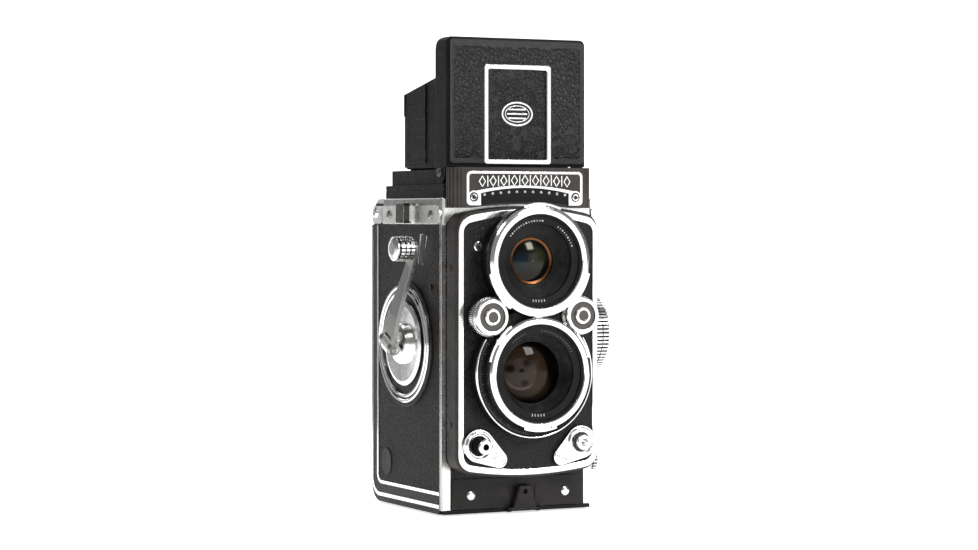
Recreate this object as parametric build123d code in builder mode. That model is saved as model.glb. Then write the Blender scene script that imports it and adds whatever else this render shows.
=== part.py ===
"""Twin lens reflex camera for 120 roll film, with its viewing hood open.

Millimetres, +Z up.  The lenses look along -Y, the winding crank is on the -X side and the focusing
knob on the +X side.  The origin is the centre of the tripod socket, in the plane of the four feet.
"""
import os
from math import atan2, cos, degrees, hypot, radians, sin

from build123d import *

os.makedirs("parts", exist_ok=True)

# ---------------------------------------------------------------- driving dimensions
BODY_W = 77.0          # over the leather, X
BODY_D = 76.6          # front plate to back door, Y
BODY_H = 143.6         # base to the deck under the hood
SKIN = 0.8             # leather thickness
COVER = 1.0            # side cover plates under the leather
WALL = 2.0
RUNNING = 0.05         # radial clearance of a turning fit

SPOOL_LENGTH = 65.5    # 120 roll film
SPOOL_R = 12.5
SPOOL_CORE_R = 5.8
SPOOL_BORE_R = 2.1
FRAME = 56.0           # 6 x 6 negative

VIEW_Z = 115.2         # viewing lens axis
TAKE_Z = 64.7          # taking lens axis
RIM_Y = -61.2          # front rim of both lens bezels

CRANK_Z = 76.5         # crank axis, at Y = 0
CRANK_LEAN = 26.0      # degrees from upright towards the front
CRANK_LENGTH = 49.0

HINGE_Y = 31.8         # back door hinge
HINGE_Z = 137.1
BARREL_R = 6.5

LID_PIVOT_Y = -30.0
LID_PIVOT_Z = 155.1
LID_TOP = 216.6
FLAP_X = 32.3

FOCUS_Y = -19.3
FOCUS_Z = 80.8
SUPPLY = (-20.0, 20.7)     # film spool axes as (Y, Z)
TAKE_UP = (20.5, 114.0)
KNOB_GAP = 38.9            # inner face of the pull-out spool knobs
THREAD_R = 2.6             # 1/4-20 UNC tripod thread, at its minor diameter
LATCH_PIVOT = (-40.4, 2.0)
LATCH_X = 2.0

# ---------------------------------------------------------------- derived
HALF_W = BODY_W / 2
HALF_D = BODY_D / 2
FRONT_Y = -HALF_D
LEATHER_X = HALF_W - SKIN
CAST_X = LEATHER_X - COVER
CAST_FRONT = FRONT_Y + WALL
CAST_REAR = 36.0
CAST_BOTTOM = 3.0
FRAME_Z = 131.7            # underside of the chrome top frame
DECK_Z = BODY_H - 1.5
CHAMBER_X = SPOOL_LENGTH / 2 + 0.55
DOOR_FLANGE_Y = 30.2
DOOR_FLANGE_Z = 10.9


# ---------------------------------------------------------------- helpers
def front(y):
    """Plane facing the lenses' way at this Y: sketch axes are X and Z, and extruding goes to -Y."""
    return Plane.XZ.offset(-y)


def side(x):
    """Plane facing +X at this X: sketch axes are Y and Z."""
    return Plane.YZ.offset(x)


def turn_y(profile, x, z, mode=Mode.ADD):
    """Revolve (y, radius) points about the axis along Y through (x, z)."""
    with BuildSketch(side(x)) as half:
        Polygon([(y, z + r) for y, r in profile])
    revolve(half.sketch, axis=Axis((x, 0, z), (0, 1, 0)), mode=mode)


def turn_x(profile, y, z, mode=Mode.ADD):
    """Revolve (x, radius) points about the axis along X through (y, z)."""
    with BuildSketch(front(y)) as half:
        Polygon([(x, z + r) for x, r in profile])
    revolve(half.sketch, axis=Axis((0, y, z), (1, 0, 0)), mode=mode)


def box(x0, x1, y0, y1, z0, z1, mode=Mode.ADD):
    """Box between two corners."""
    with Locations(((x0 + x1) / 2, (y0 + y1) / 2, (z0 + z1) / 2)):
        Box(x1 - x0, y1 - y0, z1 - z0, mode=mode)


def rod_x(x0, x1, y, z, r, mode=Mode.ADD):
    """Cylinder along X."""
    with BuildSketch(side(x0)) as section:
        with Locations((y, z)):
            Circle(r)
    extrude(section.sketch, amount=x1 - x0, mode=mode)


def rod_y(y0, y1, x, z, r, mode=Mode.ADD):
    """Cylinder along Y, from y0 towards -Y to y1."""
    with BuildSketch(front(y0)) as section:
        with Locations((x, z)):
            Circle(r)
    extrude(section.sketch, amount=y0 - y1, mode=mode)


def teeth(count, r_in, r_out, fill=0.5, y=0.0, z=0.0):
    """Outline with square teeth, about a centre in the current sketch."""
    pitch = 360 / count
    points = []
    for i in range(count):
        for r, part in ((r_in, 0), (r_out, 0), (r_out, fill), (r_in, fill)):
            a = radians(pitch * (i + part))
            points.append((y + r * cos(a), z + r * sin(a)))
    Polygon(points)


def sector(cx, cz, r_in, r_out, start, sweep):
    """Piece of a flat ring between two angles."""
    a, b = radians(start), radians(start + sweep)
    with BuildLine() as edges:
        CenterArc((cx, cz), r_out, start, sweep)
        CenterArc((cx, cz), r_in, start, sweep)
        Line((cx + r_in * cos(a), cz + r_in * sin(a)), (cx + r_out * cos(a), cz + r_out * sin(a)))
        Line((cx + r_in * cos(b), cz + r_in * sin(b)), (cx + r_out * cos(b), cz + r_out * sin(b)))
    make_face(edges.edges())


def crowned(half_w, low_side, low_mid, top_side, top_mid, corner):
    """Panel outline with bowed top and bottom edges and rounded corners."""
    with BuildLine() as edges:
        ThreePointArc((-half_w, low_side), (0, low_mid), (half_w, low_side))
        Line((half_w, low_side), (half_w, top_side))
        ThreePointArc((half_w, top_side), (0, top_mid), (-half_w, top_side))
        Line((-half_w, top_side), (-half_w, low_side))
    panel = make_face(edges.edges())
    fillet(panel.vertices(), corner)


def lens_face(y, z, r, bulge):
    """Spherical arc from the rim to the axis; a negative bulge faces -Y."""
    sphere = (r * r + bulge * bulge) / (2 * abs(bulge))
    sag = (sphere ** 2 - (r / 2) ** 2) ** 0.5 - (sphere - abs(bulge))
    side_sign = 1 if bulge > 0 else -1
    ThreePointArc((y, z + r), (y + side_sign * sag, z + r / 2), (y + bulge, z))


def both_sides():
    """-1 for the crank side, +1 for the focusing side."""
    return (-1, 1)


# ================================================================ body
MIRROR_LINE = 121.7        # reflecting plane: Z = Y + MIRROR_LINE
CHAMBER_LINE = MIRROR_LINE - 3.1 * 2 ** 0.5
CRANK_GEAR_R = 11.6
IDLER_R = 10.85
SPOOL_GEAR_R = 9.0
GEAR_GAP = 0.2
GEAR_ANGLE = atan2(TAKE_UP[1] - CRANK_Z, TAKE_UP[0])
IDLER_DISTANCE = CRANK_GEAR_R + GEAR_GAP + IDLER_R
IDLER = (IDLER_DISTANCE * cos(GEAR_ANGLE), CRANK_Z + IDLER_DISTANCE * sin(GEAR_ANGLE))
GEAR_X = (-36.4, -34.6)
POSTS = [(x, z) for x in (-32.5, 32.5) for z in (45.0, 104.0)]
POST_R = 1.5
ROLLERS = {"lower_roller": (25.5, 32.0, 3.1), "upper_roller": (26.0, 99.0, 2.9)}

with BuildPart() as body_casting:
    box(-CAST_X, CAST_X, CAST_FRONT, CAST_REAR, CAST_BOTTOM, DECK_Z)
    # room for the door's hinge barrel and the top frame around it
    with BuildSketch(side(-CAST_X)):
        Polygon([(24.6, DECK_Z), (24.6, FRAME_Z - 1.6), (CAST_REAR, FRAME_Z - 1.6), (CAST_REAR, DECK_Z)])
    extrude(amount=2 * CAST_X, mode=Mode.SUBTRACT)
    # mirror chamber, with a seat for the focusing screen
    with BuildSketch(side(-30)):
        rear = 21.0
        low = -33.3
        Polygon([(low, DECK_Z), (low, low + CHAMBER_LINE), (rear, rear + CHAMBER_LINE), (rear, DECK_Z)])
    extrude(amount=60, mode=Mode.SUBTRACT)
    box(-31, 31, -34, 22.4, 140.4, DECK_Z, mode=Mode.SUBTRACT)
    # light box behind the taking lens
    with BuildSketch(side(-FRAME / 2 - 0.2)):
        Polygon([(-34.3, TAKE_Z - 15.5), (29, TAKE_Z - 28.2), (29, TAKE_Z + 28.2), (-34.3, TAKE_Z + 15.5)])
    extrude(amount=FRAME + 0.4, mode=Mode.SUBTRACT)
    # supply chamber, film channel and take-up chamber
    box(-CHAMBER_X, CHAMBER_X, -34.3, CAST_REAR, CAST_BOTTOM, 34.9, mode=Mode.SUBTRACT)
    box(-CHAMBER_X, CHAMBER_X, 29, CAST_REAR, 34.9, 128.6, mode=Mode.SUBTRACT)
    with BuildSketch(side(-CHAMBER_X)):
        Polygon([(5, 96), (5, 118), (16, 128.6), (30, 128.6), (30, 96)])
    extrude(amount=2 * CHAMBER_X, mode=Mode.SUBTRACT)
    # rear lower corner, inside the rounded corner of the door
    with BuildSketch(side(-CAST_X)):
        Polygon([(28.9, 2), (38, 2), (38, 11.1)])
    extrude(amount=2 * CAST_X, mode=Mode.SUBTRACT)
    box(-32.5, 32.5, 27, 29, 35.9, 95.1, mode=Mode.SUBTRACT)
    for roller_y, roller_z, roller_r in ROLLERS.values():
        rod_x(-CHAMBER_X, CHAMBER_X, roller_y, roller_z, roller_r + 0.6, mode=Mode.SUBTRACT)
    # lens openings
    rod_y(CAST_REAR - 50, CAST_FRONT, 0, VIEW_Z, 19.0, mode=Mode.SUBTRACT)
    rod_y(CAST_FRONT + 4, CAST_FRONT, 0, TAKE_Z, 15.5, mode=Mode.SUBTRACT)
    # gear pocket and the focusing cam's pocket, closed by the side covers
    pocket = GEAR_X[1] + 0.3
    rod_x(-CAST_X, pocket, 0, CRANK_Z, CRANK_GEAR_R + 0.6, mode=Mode.SUBTRACT)
    rod_x(-CAST_X, pocket, IDLER[0], IDLER[1], IDLER_R + 0.6, mode=Mode.SUBTRACT)
    rod_x(-CAST_X, pocket, TAKE_UP[0], TAKE_UP[1], SPOOL_GEAR_R + 0.6, mode=Mode.SUBTRACT)
    rod_x(34.3, CAST_X, FOCUS_Y, FOCUS_Z, 12.6, mode=Mode.SUBTRACT)
    # bores: crank, focusing shaft, spool knobs, take-up key, guide posts
    rod_x(pocket - 1, -30, 0, CRANK_Z, 3 + RUNNING, mode=Mode.SUBTRACT)
    rod_x(30, 36, FOCUS_Y, FOCUS_Z, 3 + RUNNING, mode=Mode.SUBTRACT)
    for y, z in (SUPPLY, TAKE_UP):
        rod_x(32, CAST_X + 1, y, z, 2 + RUNNING, mode=Mode.SUBTRACT)
    rod_x(pocket - 1, -32, TAKE_UP[0], TAKE_UP[1], 2 + RUNNING, mode=Mode.SUBTRACT)
    for x, z in POSTS:
        rod_y(-26, CAST_FRONT, x, z, POST_R + RUNNING, mode=Mode.SUBTRACT)
    # fixed pins: idler gear, supply spool's left end, film rollers
    rod_x(pocket + 0.5, GEAR_X[0], IDLER[0], IDLER[1], 1.5)
    rod_x(-CHAMBER_X - 0.5, -31, SUPPLY[0], SUPPLY[1], 2.0)
    for roller_y, roller_z, roller_r in ROLLERS.values():
        for s in both_sides():
            rod_x(s * (CHAMBER_X + 0.5), s * 31, roller_y, roller_z, 1.2)
body_casting.part.label = "body_casting"
export_step(body_casting.part, "parts/body_casting.step")

with BuildPart() as body_trims:
    # top frame: a chromed rim whose rear edge is the hinge barrel
    with BuildSketch(side(-HALF_W)):
        with BuildLine():
            Polyline([(FRONT_Y, FRAME_Z), (FRONT_Y, BODY_H), (HINGE_Y, BODY_H)])
            ThreePointArc((HINGE_Y, BODY_H), (HINGE_Y + BARREL_R, HINGE_Z), (HINGE_Y, HINGE_Z - BARREL_R))
            Polyline([(HINGE_Y, HINGE_Z - BARREL_R), (30.1, HINGE_Z - BARREL_R), (30.1, FRAME_Z),
                      (FRONT_Y, FRAME_Z)])
        make_face()
    extrude(amount=BODY_W)
    upright = body_trims.edges().filter_by(Axis.Z).sort_by(Axis.Y)[:2]
    fillet(upright, 1.5)
    top_long = body_trims.edges().filter_by(Axis.Y).group_by(Axis.Z)[-1]
    fillet(top_long, 0.8)
    box(-CAST_X - 0.05, CAST_X + 0.05, CAST_FRONT - 0.05, 24.65, FRAME_Z - 1, DECK_Z, mode=Mode.SUBTRACT)
    box(-29.5, 29.5, -32.5, 20, DECK_Z - 1, BODY_H + 1, mode=Mode.SUBTRACT)
    for s in both_sides():
        # the door's flanges turn in these rebates
        box(*sorted((s * 37.2, s * (HALF_W + 1))), 24.8, 45, FRAME_Z - 2, BODY_H + 1, mode=Mode.SUBTRACT)
        rod_x(s * 30, s * HALF_W, HINGE_Y, HINGE_Z, 1.62, mode=Mode.SUBTRACT)
    # corner strips down the front edges
    for s in both_sides():
        with BuildSketch(Plane.XY.offset(2.7)):
            Polygon([(s * 34.1, FRONT_Y), (s * HALF_W, FRONT_Y), (s * HALF_W, -36.2),
                     (s * LEATHER_X, -36.2),
                     (s * LEATHER_X, CAST_FRONT - 0.4), (s * (CAST_X + 0.1), CAST_FRONT - 0.4),
                     (s * (CAST_X + 0.1), CAST_FRONT - 0.9), (s * 34.1, CAST_FRONT - 0.9)])
        extrude(amount=FRAME_Z - 2.8)
body_trims.part.label = "body_trims"
export_step(body_trims.part, "parts/body_trims.step")

with BuildPart() as front_plate:
    box(-34, 34, FRONT_Y, CAST_FRONT - 0.05, 2.7, FRAME_Z - 0.1)
    # light-tight shroud that the front standard slides over
    box(-30.6, 30.6, -45.6, FRONT_Y, 27, 130)
    box(-29.4, 29.4, -46, FRONT_Y - 0.01, 28.2, 128.8, mode=Mode.SUBTRACT)
    rod_y(CAST_FRONT, FRONT_Y - 1, 0, VIEW_Z - 1.2, 14.4, mode=Mode.SUBTRACT)
    rod_y(CAST_FRONT, FRONT_Y - 1, 0, TAKE_Z, 15.4, mode=Mode.SUBTRACT)
    for x, z in POSTS:
        rod_y(CAST_FRONT, FRONT_Y - 1, x, z, POST_R + RUNNING, mode=Mode.SUBTRACT)
    # lower apron, proud of the plate, with a keeper recess for the back's latch
    box(-33.4, 33.4, FRONT_Y - 0.5, FRONT_Y + 0.2, 2.9, 16.5)
    box(LATCH_X - 6.6, LATCH_X + 6.6, FRONT_Y - 1, FRONT_Y - 0.1, 2, 13.4, mode=Mode.SUBTRACT)
    box(LATCH_X - 8.6, LATCH_X + 8.6, FRONT_Y - 1, FRONT_Y - 0.1, 2, 4.2, mode=Mode.SUBTRACT)
front_plate.part.label = "front_plate"
export_step(front_plate.part, "parts/front_plate.step")

with BuildPart() as side_covers:
    for s in both_sides():
        box(*sorted((s * CAST_X, s * LEATHER_X)), -36.0, 29.8, 11.2, FRAME_Z - 0.1)
    fillet(side_covers.edges().filter_by(Axis.X).group_by(Axis.Z)[0].sort_by(Axis.Y)[-2:], 5.5)
    rod_x(-HALF_W, -30, 0, CRANK_Z, 3 + RUNNING, mode=Mode.SUBTRACT)
    rod_x(30, HALF_W, FOCUS_Y, FOCUS_Z, 3 + RUNNING, mode=Mode.SUBTRACT)
    for y, z in (SUPPLY, TAKE_UP):
        rod_x(30, HALF_W, y, z, 2 + RUNNING, mode=Mode.SUBTRACT)
    # oval cap and a stud that stand through the leather on the crank side
    with BuildSketch(side(-LEATHER_X)):
        with Locations((21.2, 20.2)):
            Ellipse(5.5, 6.5)
    extrude(amount=-SKIN - 0.3)
    chamfer(side_covers.faces().sort_by(Axis.X)[0].edges(), 0.2)
    rod_x(-LEATHER_X, -HALF_W - 0.5, -26.9, 103.2, 1.4)
side_covers.part.label = "side_covers"
export_step(side_covers.part, "parts/side_covers.step")

with BuildPart() as side_leather:
    for s in both_sides():
        with BuildSketch(side(s * LEATHER_X)):
            with Locations((-3.1, 71.35)):
                Rectangle(65.8, 120.5)
        extrude(amount=s * SKIN)
    rear_low = side_leather.edges().filter_by(Axis.X).group_by(Axis.Z)[0].sort_by(Axis.Y)[-2:]
    fillet(rear_low, 5.5)
    rod_x(-HALF_W - 1, -30, 0, CRANK_Z, 29.35, mode=Mode.SUBTRACT)
    rod_x(30, HALF_W + 1, FOCUS_Y, FOCUS_Z, 14.0, mode=Mode.SUBTRACT)
    for y, z in (SUPPLY, TAKE_UP):
        rod_x(30, HALF_W + 1, y, z, 3.0, mode=Mode.SUBTRACT)
    with BuildSketch(side(-HALF_W - 1)):
        with Locations((21.2, 20.2)):
            Ellipse(5.6, 6.6)
        with Locations((-26.9, 103.2)):
            Circle(1.5)
    extrude(amount=5, mode=Mode.SUBTRACT)
side_leather.part.label = "side_leather"
export_step(side_leather.part, "parts/side_leather.step")

# ---------------------------------------------------------------- strap lugs, screws, hinge pins
STRAP_Z = (131.9, 140.2)
STRAP_MID = sum(STRAP_Z) / 2
LUG_Y = -4.6
with BuildPart() as strap_lugs:
    for s in both_sides():
        # lug plate with a round front end
        with BuildSketch(side(s * HALF_W)):
            with Locations((-5.2, STRAP_MID)):
                Rectangle(59.4, STRAP_Z[1] - STRAP_Z[0])
            with Locations((-34.0, STRAP_MID)):
                Circle((STRAP_Z[1] - STRAP_Z[0]) / 2)
        extrude(amount=s * 0.9)
        # cap over the door's hinge
        with BuildSketch(side(s * (HALF_W + 0.45))):
            with Locations((30.2, STRAP_MID)):
                RectangleRounded(10.4, STRAP_Z[1] - STRAP_Z[0], 2.0)
        extrude(amount=s * 0.6)
        # lug: a block with a slot for the strap end
        with BuildSketch(side(s * (HALF_W + 0.9))):
            with Locations((LUG_Y, STRAP_MID + 0.7)):
                RectangleRounded(8.6, 9.2, 1.2)
        extrude(amount=s * 4.4)
        slot = sorted((s * (HALF_W + 1.6), s * (HALF_W + 3.8)))
        box(*slot, LUG_Y - 3.0, LUG_Y + 3.0, 120, 150, mode=Mode.SUBTRACT)
        rod_x(s * HALF_W, s * (HALF_W + 2), HINGE_Y, HINGE_Z, 1.62, mode=Mode.SUBTRACT)
strap_lugs.part.label = "strap_lugs"
export_step(strap_lugs.part, "parts/strap_lugs.step")

with BuildPart() as slotted_screws:
    for s in both_sides():
        head = s * (HALF_W + 0.9)
        for y in (16.7, -28.6):
            turn_x([(head, 0), (head, 2.1), (head + s * 0.4, 2.1), (head + s * 0.8, 1.2),
                    (head + s * 0.8, 0)],
                   y, STRAP_MID)
            slot = sorted((head + s * 0.4, head + s * 1.0))
            box(*slot, y - 2.2, y + 2.2, STRAP_MID - 0.25, STRAP_MID + 0.25, mode=Mode.SUBTRACT)
        head = FRONT_Y - 0.5
        turn_y([(head, 0), (head, 2.0), (head - 0.4, 2.0), (head - 0.8, 1.2), (head - 0.8, 0)],
               s * 24.1, 9.0)
        box(s * 24.1 - 0.25, s * 24.1 + 0.25, head - 1, head - 0.4, 6.8, 11.2, mode=Mode.SUBTRACT)
slotted_screws.part.label = "slotted_screws"
export_step(slotted_screws.part, "parts/slotted_screws.step")

with BuildPart() as door_hinge_pins:
    for s in both_sides():
        head = s * (HALF_W + 1.05)
        turn_x([(s * 31, 0), (s * 31, 1.6), (head, 1.6), (head, 2.5), (head + s * 0.45, 2.5),
                (head + s * 0.85, 1.6),
                (head + s * 0.85, 0)], HINGE_Y, HINGE_Z)
door_hinge_pins.part.label = "door_hinge_pins"
export_step(door_hinge_pins.part, "parts/door_hinge_pins.step")

with BuildPart() as lid_pivot_pins:
    for s in both_sides():
        turn_x([(s * 30.5, 0), (s * 30.5, 1.2), (s * 35.6, 1.2), (s * 35.6, 2.1), (s * 36.1, 1.9),
                (s * 36.4, 1.2),
                (s * 36.4, 0)], LID_PIVOT_Y, LID_PIVOT_Z)
lid_pivot_pins.part.label = "lid_pivot_pins"
export_step(lid_pivot_pins.part, "parts/lid_pivot_pins.step")

# ---------------------------------------------------------------- nameplate and light meter window
BLOCK_FRONT = -45.3
BLOCK_REAR = FRONT_Y - 0.05
BLOCK_Z = (139.1, 157.5)
FACE_X = 29.8


def arch(half_w, z_side, z_mid, z_top):
    """Shape under an arched edge, closed by a straight line."""
    with BuildLine() as edges:
        ThreePointArc((-half_w, z_side), (0, z_mid), (half_w, z_side))
        Polyline([(half_w, z_side), (half_w, z_top), (-half_w, z_top), (-half_w, z_side)])
    make_face(edges.edges())


with BuildPart() as nameplate_block:
    with BuildSketch(Plane.XY.offset(BLOCK_Z[0])):
        with BuildLine():
            Polyline([(FACE_X, BLOCK_FRONT), (-FACE_X, BLOCK_FRONT)])
            ThreePointArc((-FACE_X, BLOCK_FRONT), (-34.6, -42.9), (-36.2, BLOCK_REAR))
            Line((-36.2, BLOCK_REAR), (36.2, BLOCK_REAR))
            ThreePointArc((36.2, BLOCK_REAR), (34.6, -42.9), (FACE_X, BLOCK_FRONT))
        make_face()
    extrude(amount=BLOCK_Z[1] - BLOCK_Z[0])
    # arched underside over the front standard
    with BuildSketch(front(BLOCK_REAR + 1)):
        arch(28.6, 138.9, 140.9, 130)
    extrude(amount=12, mode=Mode.SUBTRACT)
    # vertical ribs round both corners
    for s in both_sides():
        for x, y in ((30.6, -45.5), (32.1, -44.9), (33.4, -43.9), (34.6, -42.6), (35.5, -41.1),
                     (36.1, -39.6)):
            with BuildSketch(Plane.XY.offset(BLOCK_Z[0] - 1)):
                with Locations((s * x, y)):
                    Circle(0.42)
            extrude(amount=30, mode=Mode.SUBTRACT)
nameplate_block.part.label = "nameplate_block"
export_step(nameplate_block.part, "parts/nameplate_block.step")

WINDOW_X = 22.4
with BuildPart() as nameplate_trim:
    with BuildSketch(front(BLOCK_FRONT)):
        with Locations((0, 147.9)):
            RectangleRounded(59.2, 15.4, 2.2)
        with Locations((0, 149.0)):
            RectangleRounded(56.6, 11.0, 1.4, mode=Mode.SUBTRACT)
        with Locations((-25.9, 144.0), (25.9, 144.0)):
            Circle(2.9)
        with BuildLine():
            ThreePointArc((-27.6, 146.2), (0, 149.2), (27.6, 146.2))
            Line((27.6, 146.2), (WINDOW_X, 140.2))
            Line((WINDOW_X, 140.2), (-WINDOW_X, 140.2))
            Line((-WINDOW_X, 140.2), (-27.6, 146.2))
        make_face()
        with BuildLine():
            ThreePointArc((-WINDOW_X, 145.7), (0, 148.2), (WINDOW_X, 145.7))
            Polyline([(WINDOW_X, 145.7), (WINDOW_X, 138), (-WINDOW_X, 138), (-WINDOW_X, 145.7)])
        make_face(mode=Mode.SUBTRACT)
        with Locations((-25.9, 144.0), (25.9, 144.0)):
            Circle(2.15, mode=Mode.SUBTRACT)
    extrude(amount=0.5)
    # hollow rivets
    for s in both_sides():
        turn_y([(BLOCK_FRONT, 0.85), (BLOCK_FRONT, 1.65), (BLOCK_FRONT - 0.7, 1.65),
                (BLOCK_FRONT - 0.9, 1.3),
                (BLOCK_FRONT - 0.7, 0.85)], s * 25.9, 144.0)
nameplate_trim.part.label = "nameplate_trim"
export_step(nameplate_trim.part, "parts/nameplate_trim.step")

with BuildPart() as meter_window:
    with BuildSketch(front(BLOCK_FRONT)):
        with BuildLine():
            ThreePointArc((-WINDOW_X + 0.1, 145.6), (0, 148.1), (WINDOW_X - 0.1, 145.6))
            Line((WINDOW_X - 0.1, 145.6), (WINDOW_X - 0.1, 140.4))
            ThreePointArc((WINDOW_X - 0.1, 140.4), (0, 142.0), (-WINDOW_X + 0.1, 140.4))
            Line((-WINDOW_X + 0.1, 140.4), (-WINDOW_X + 0.1, 145.6))
        make_face()
    extrude(amount=0.25)
meter_window.part.label = "meter_window"
export_step(meter_window.part, "parts/meter_window.step")

# ---------------------------------------------------------------- viewing hood
STEP_Z = 149.6
HOOD_Z = 156.6
LEFT_HINGE_Z = 158.0
RIGHT_HINGE_Z = 159.75
BACK_HINGE = (14.8, 161.5)
with BuildPart() as hood_base:
    with BuildSketch(Plane.XY.offset(BODY_H)):
        with Locations((0, -3.6)):
            RectangleRounded(72, 64.2, 1.0)
    extrude(amount=STEP_Z - BODY_H)
    with BuildSketch(Plane.XY.offset(STEP_Z)):
        with Locations((0, -4.9)):
            RectangleRounded(67.8, 61.8, 1.0)
    extrude(amount=HOOD_Z - STEP_Z)
    box(-29.5, 29.5, -32.5, 20, BODY_H - 1, HOOD_Z + 1, mode=Mode.SUBTRACT)
    # seam line round the lower step
    with BuildSketch(Plane.XY.offset(147.2)):
        with Locations((0, -3.6)):
            Rectangle(80, 80)
            Rectangle(71.2, 63.4, mode=Mode.SUBTRACT)
    extrude(amount=0.5, mode=Mode.SUBTRACT)
    # hinge ridges for the three flaps, each at its own height
    box(31.6, 33.6, -22, 11, HOOD_Z - 0.1, RIGHT_HINGE_Z - 1.25)
    box(-28, 28, 15.9, 17.4, HOOD_Z - 0.1, BACK_HINGE[1] - 0.5)
    # ridge that closes the gap under the lid
    box(-28, 28, -34.9, -33.5, HOOD_Z - 0.1, 160.0)
    for s in both_sides():
        rod_x(s * 29, s * 34.2, LID_PIVOT_Y, LID_PIVOT_Z, 1.22, mode=Mode.SUBTRACT)
hood_base.part.label = "hood_base"
export_step(hood_base.part, "parts/hood_base.step")

with BuildPart() as focusing_screen:
    box(-30.8, 30.8, -33.8, 22.2, 140.5, 142.0)
focusing_screen.part.label = "focusing_screen"
export_step(focusing_screen.part, "parts/focusing_screen.step")

with BuildPart() as mirror:
    with BuildSketch(side(-29)):
        half = 0.5 * 2 ** 0.5
        low, high = -31.4, 16.5
        Polygon([(low, low + MIRROR_LINE), (high, high + MIRROR_LINE),
                 (high + 3 * half, high + MIRROR_LINE - 3 * half),
                 (low + 3 * half, low + MIRROR_LINE - 3 * half)])
    extrude(amount=58)
mirror.part.label = "mirror"
export_step(mirror.part, "parts/mirror.step")

LID_X = 35.4
LID_FRONT = -37.6
WING_REAR = -25.3
LID_BOTTOM = 158.0
WINDOW_LOW = 160.6
WINDOW_HIGH = 202.6
WINDOW_HALF = 15.5
FLAP_PIVOT_Z = WINDOW_HIGH - 1.2
FLAP_PIVOT_Y = -35.6
with BuildPart() as hood_lid:
    with BuildSketch(front(WING_REAR)):
        with BuildLine():
            Polyline([(-LID_X, LID_BOTTOM), (LID_X, LID_BOTTOM), (LID_X, LID_TOP), (-LID_X, LID_TOP)],
                     close=True)
        make_face()
    extrude(amount=WING_REAR - LID_FRONT)
    fillet(hood_lid.edges().filter_by(Axis.Y).group_by(Axis.Z)[-1], 2.6)
    fillet(hood_lid.faces().sort_by(Axis.Y)[0].edges().group_by(Axis.Z)[-1], 1.0)
    box(-LID_X + 1.2, LID_X - 1.2, LID_FRONT + 1.2, -20, 150, LID_TOP - 1.2, mode=Mode.SUBTRACT)
    # rear top corners of the wings are cut round
    for s in both_sides():
        with BuildSketch(side(s * (LID_X - 3))):
            with BuildLine():
                Polyline([(WING_REAR + 1, LID_TOP - 6), (WING_REAR + 1, LID_TOP + 1),
                          (WING_REAR - 6, LID_TOP + 1),
                          (WING_REAR - 6, LID_TOP)])
                ThreePointArc((WING_REAR - 6, LID_TOP), (WING_REAR - 1.76, LID_TOP - 1.76),
                              (WING_REAR, LID_TOP - 6))
                Line((WING_REAR, LID_TOP - 6), (WING_REAR + 1, LID_TOP - 6))
            make_face()
        extrude(amount=s * 6, mode=Mode.SUBTRACT)
        # pivot ears
        with BuildSketch(side(s * (LID_X - 1.2))):
            Polygon([(LID_FRONT + 2, LID_BOTTOM + 2), (LID_PIVOT_Y - 4.6, LID_PIVOT_Z),
                     (LID_PIVOT_Y + 4.6, LID_PIVOT_Z),
                     (WING_REAR, LID_BOTTOM + 3), (WING_REAR, LID_BOTTOM + 4),
                     (LID_FRONT + 2, LID_BOTTOM + 4)])
            with Locations((LID_PIVOT_Y, LID_PIVOT_Z)):
                Circle(4.9)
        extrude(amount=s * 1.2)
        rod_x(s * 33, s * 37, LID_PIVOT_Y, LID_PIVOT_Z, 1.2 + RUNNING, mode=Mode.SUBTRACT)
        # eye for the finder flap's hinge pin
        box(*sorted((s * (WINDOW_HALF + 0.3), s * (WINDOW_HALF + 1.5))),
            LID_FRONT + 1.1, FLAP_PIVOT_Y + 0.9,
            FLAP_PIVOT_Z - 1.0, FLAP_PIVOT_Z + 1.0)
    box(-WINDOW_HALF, WINDOW_HALF, -40, -30, WINDOW_LOW, WINDOW_HIGH, mode=Mode.SUBTRACT)
    rod_x(-WINDOW_HALF - 2, WINDOW_HALF + 2, FLAP_PIVOT_Y, FLAP_PIVOT_Z, 0.4 + RUNNING, mode=Mode.SUBTRACT)
hood_lid.part.label = "hood_lid"
export_step(hood_lid.part, "parts/hood_lid.step")

FRAME_W = 34.4
FRAME_H = 45.5
FRAME_BAND = 2.3
FRAME_MID_Z = 181.65
with BuildPart() as lid_leather:
    with BuildSketch(front(LID_FRONT)):
        with Locations((0, 187.4)):
            RectangleRounded(2 * LID_X - 2.4, 56.0, 1.6)
        with Locations((0, FRAME_MID_Z)):
            RectangleRounded(FRAME_W + 0.1, FRAME_H + 0.1, 1.6, mode=Mode.SUBTRACT)
    extrude(amount=0.6)
lid_leather.part.label = "lid_leather"
export_step(lid_leather.part, "parts/lid_leather.step")

with BuildPart() as lid_window_frame:
    with BuildSketch(front(LID_FRONT)):
        with Locations((0, FRAME_MID_Z)):
            RectangleRounded(FRAME_W, FRAME_H, 1.5)
            RectangleRounded(FRAME_W - 2 * FRAME_BAND, FRAME_H - 2 * FRAME_BAND, 0.6, mode=Mode.SUBTRACT)
    extrude(amount=1.1)
    chamfer(lid_window_frame.faces().sort_by(Axis.Y)[0].edges(), 0.3)
lid_window_frame.part.label = "lid_window_frame"
export_step(lid_window_frame.part, "parts/lid_window_frame.step")

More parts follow.
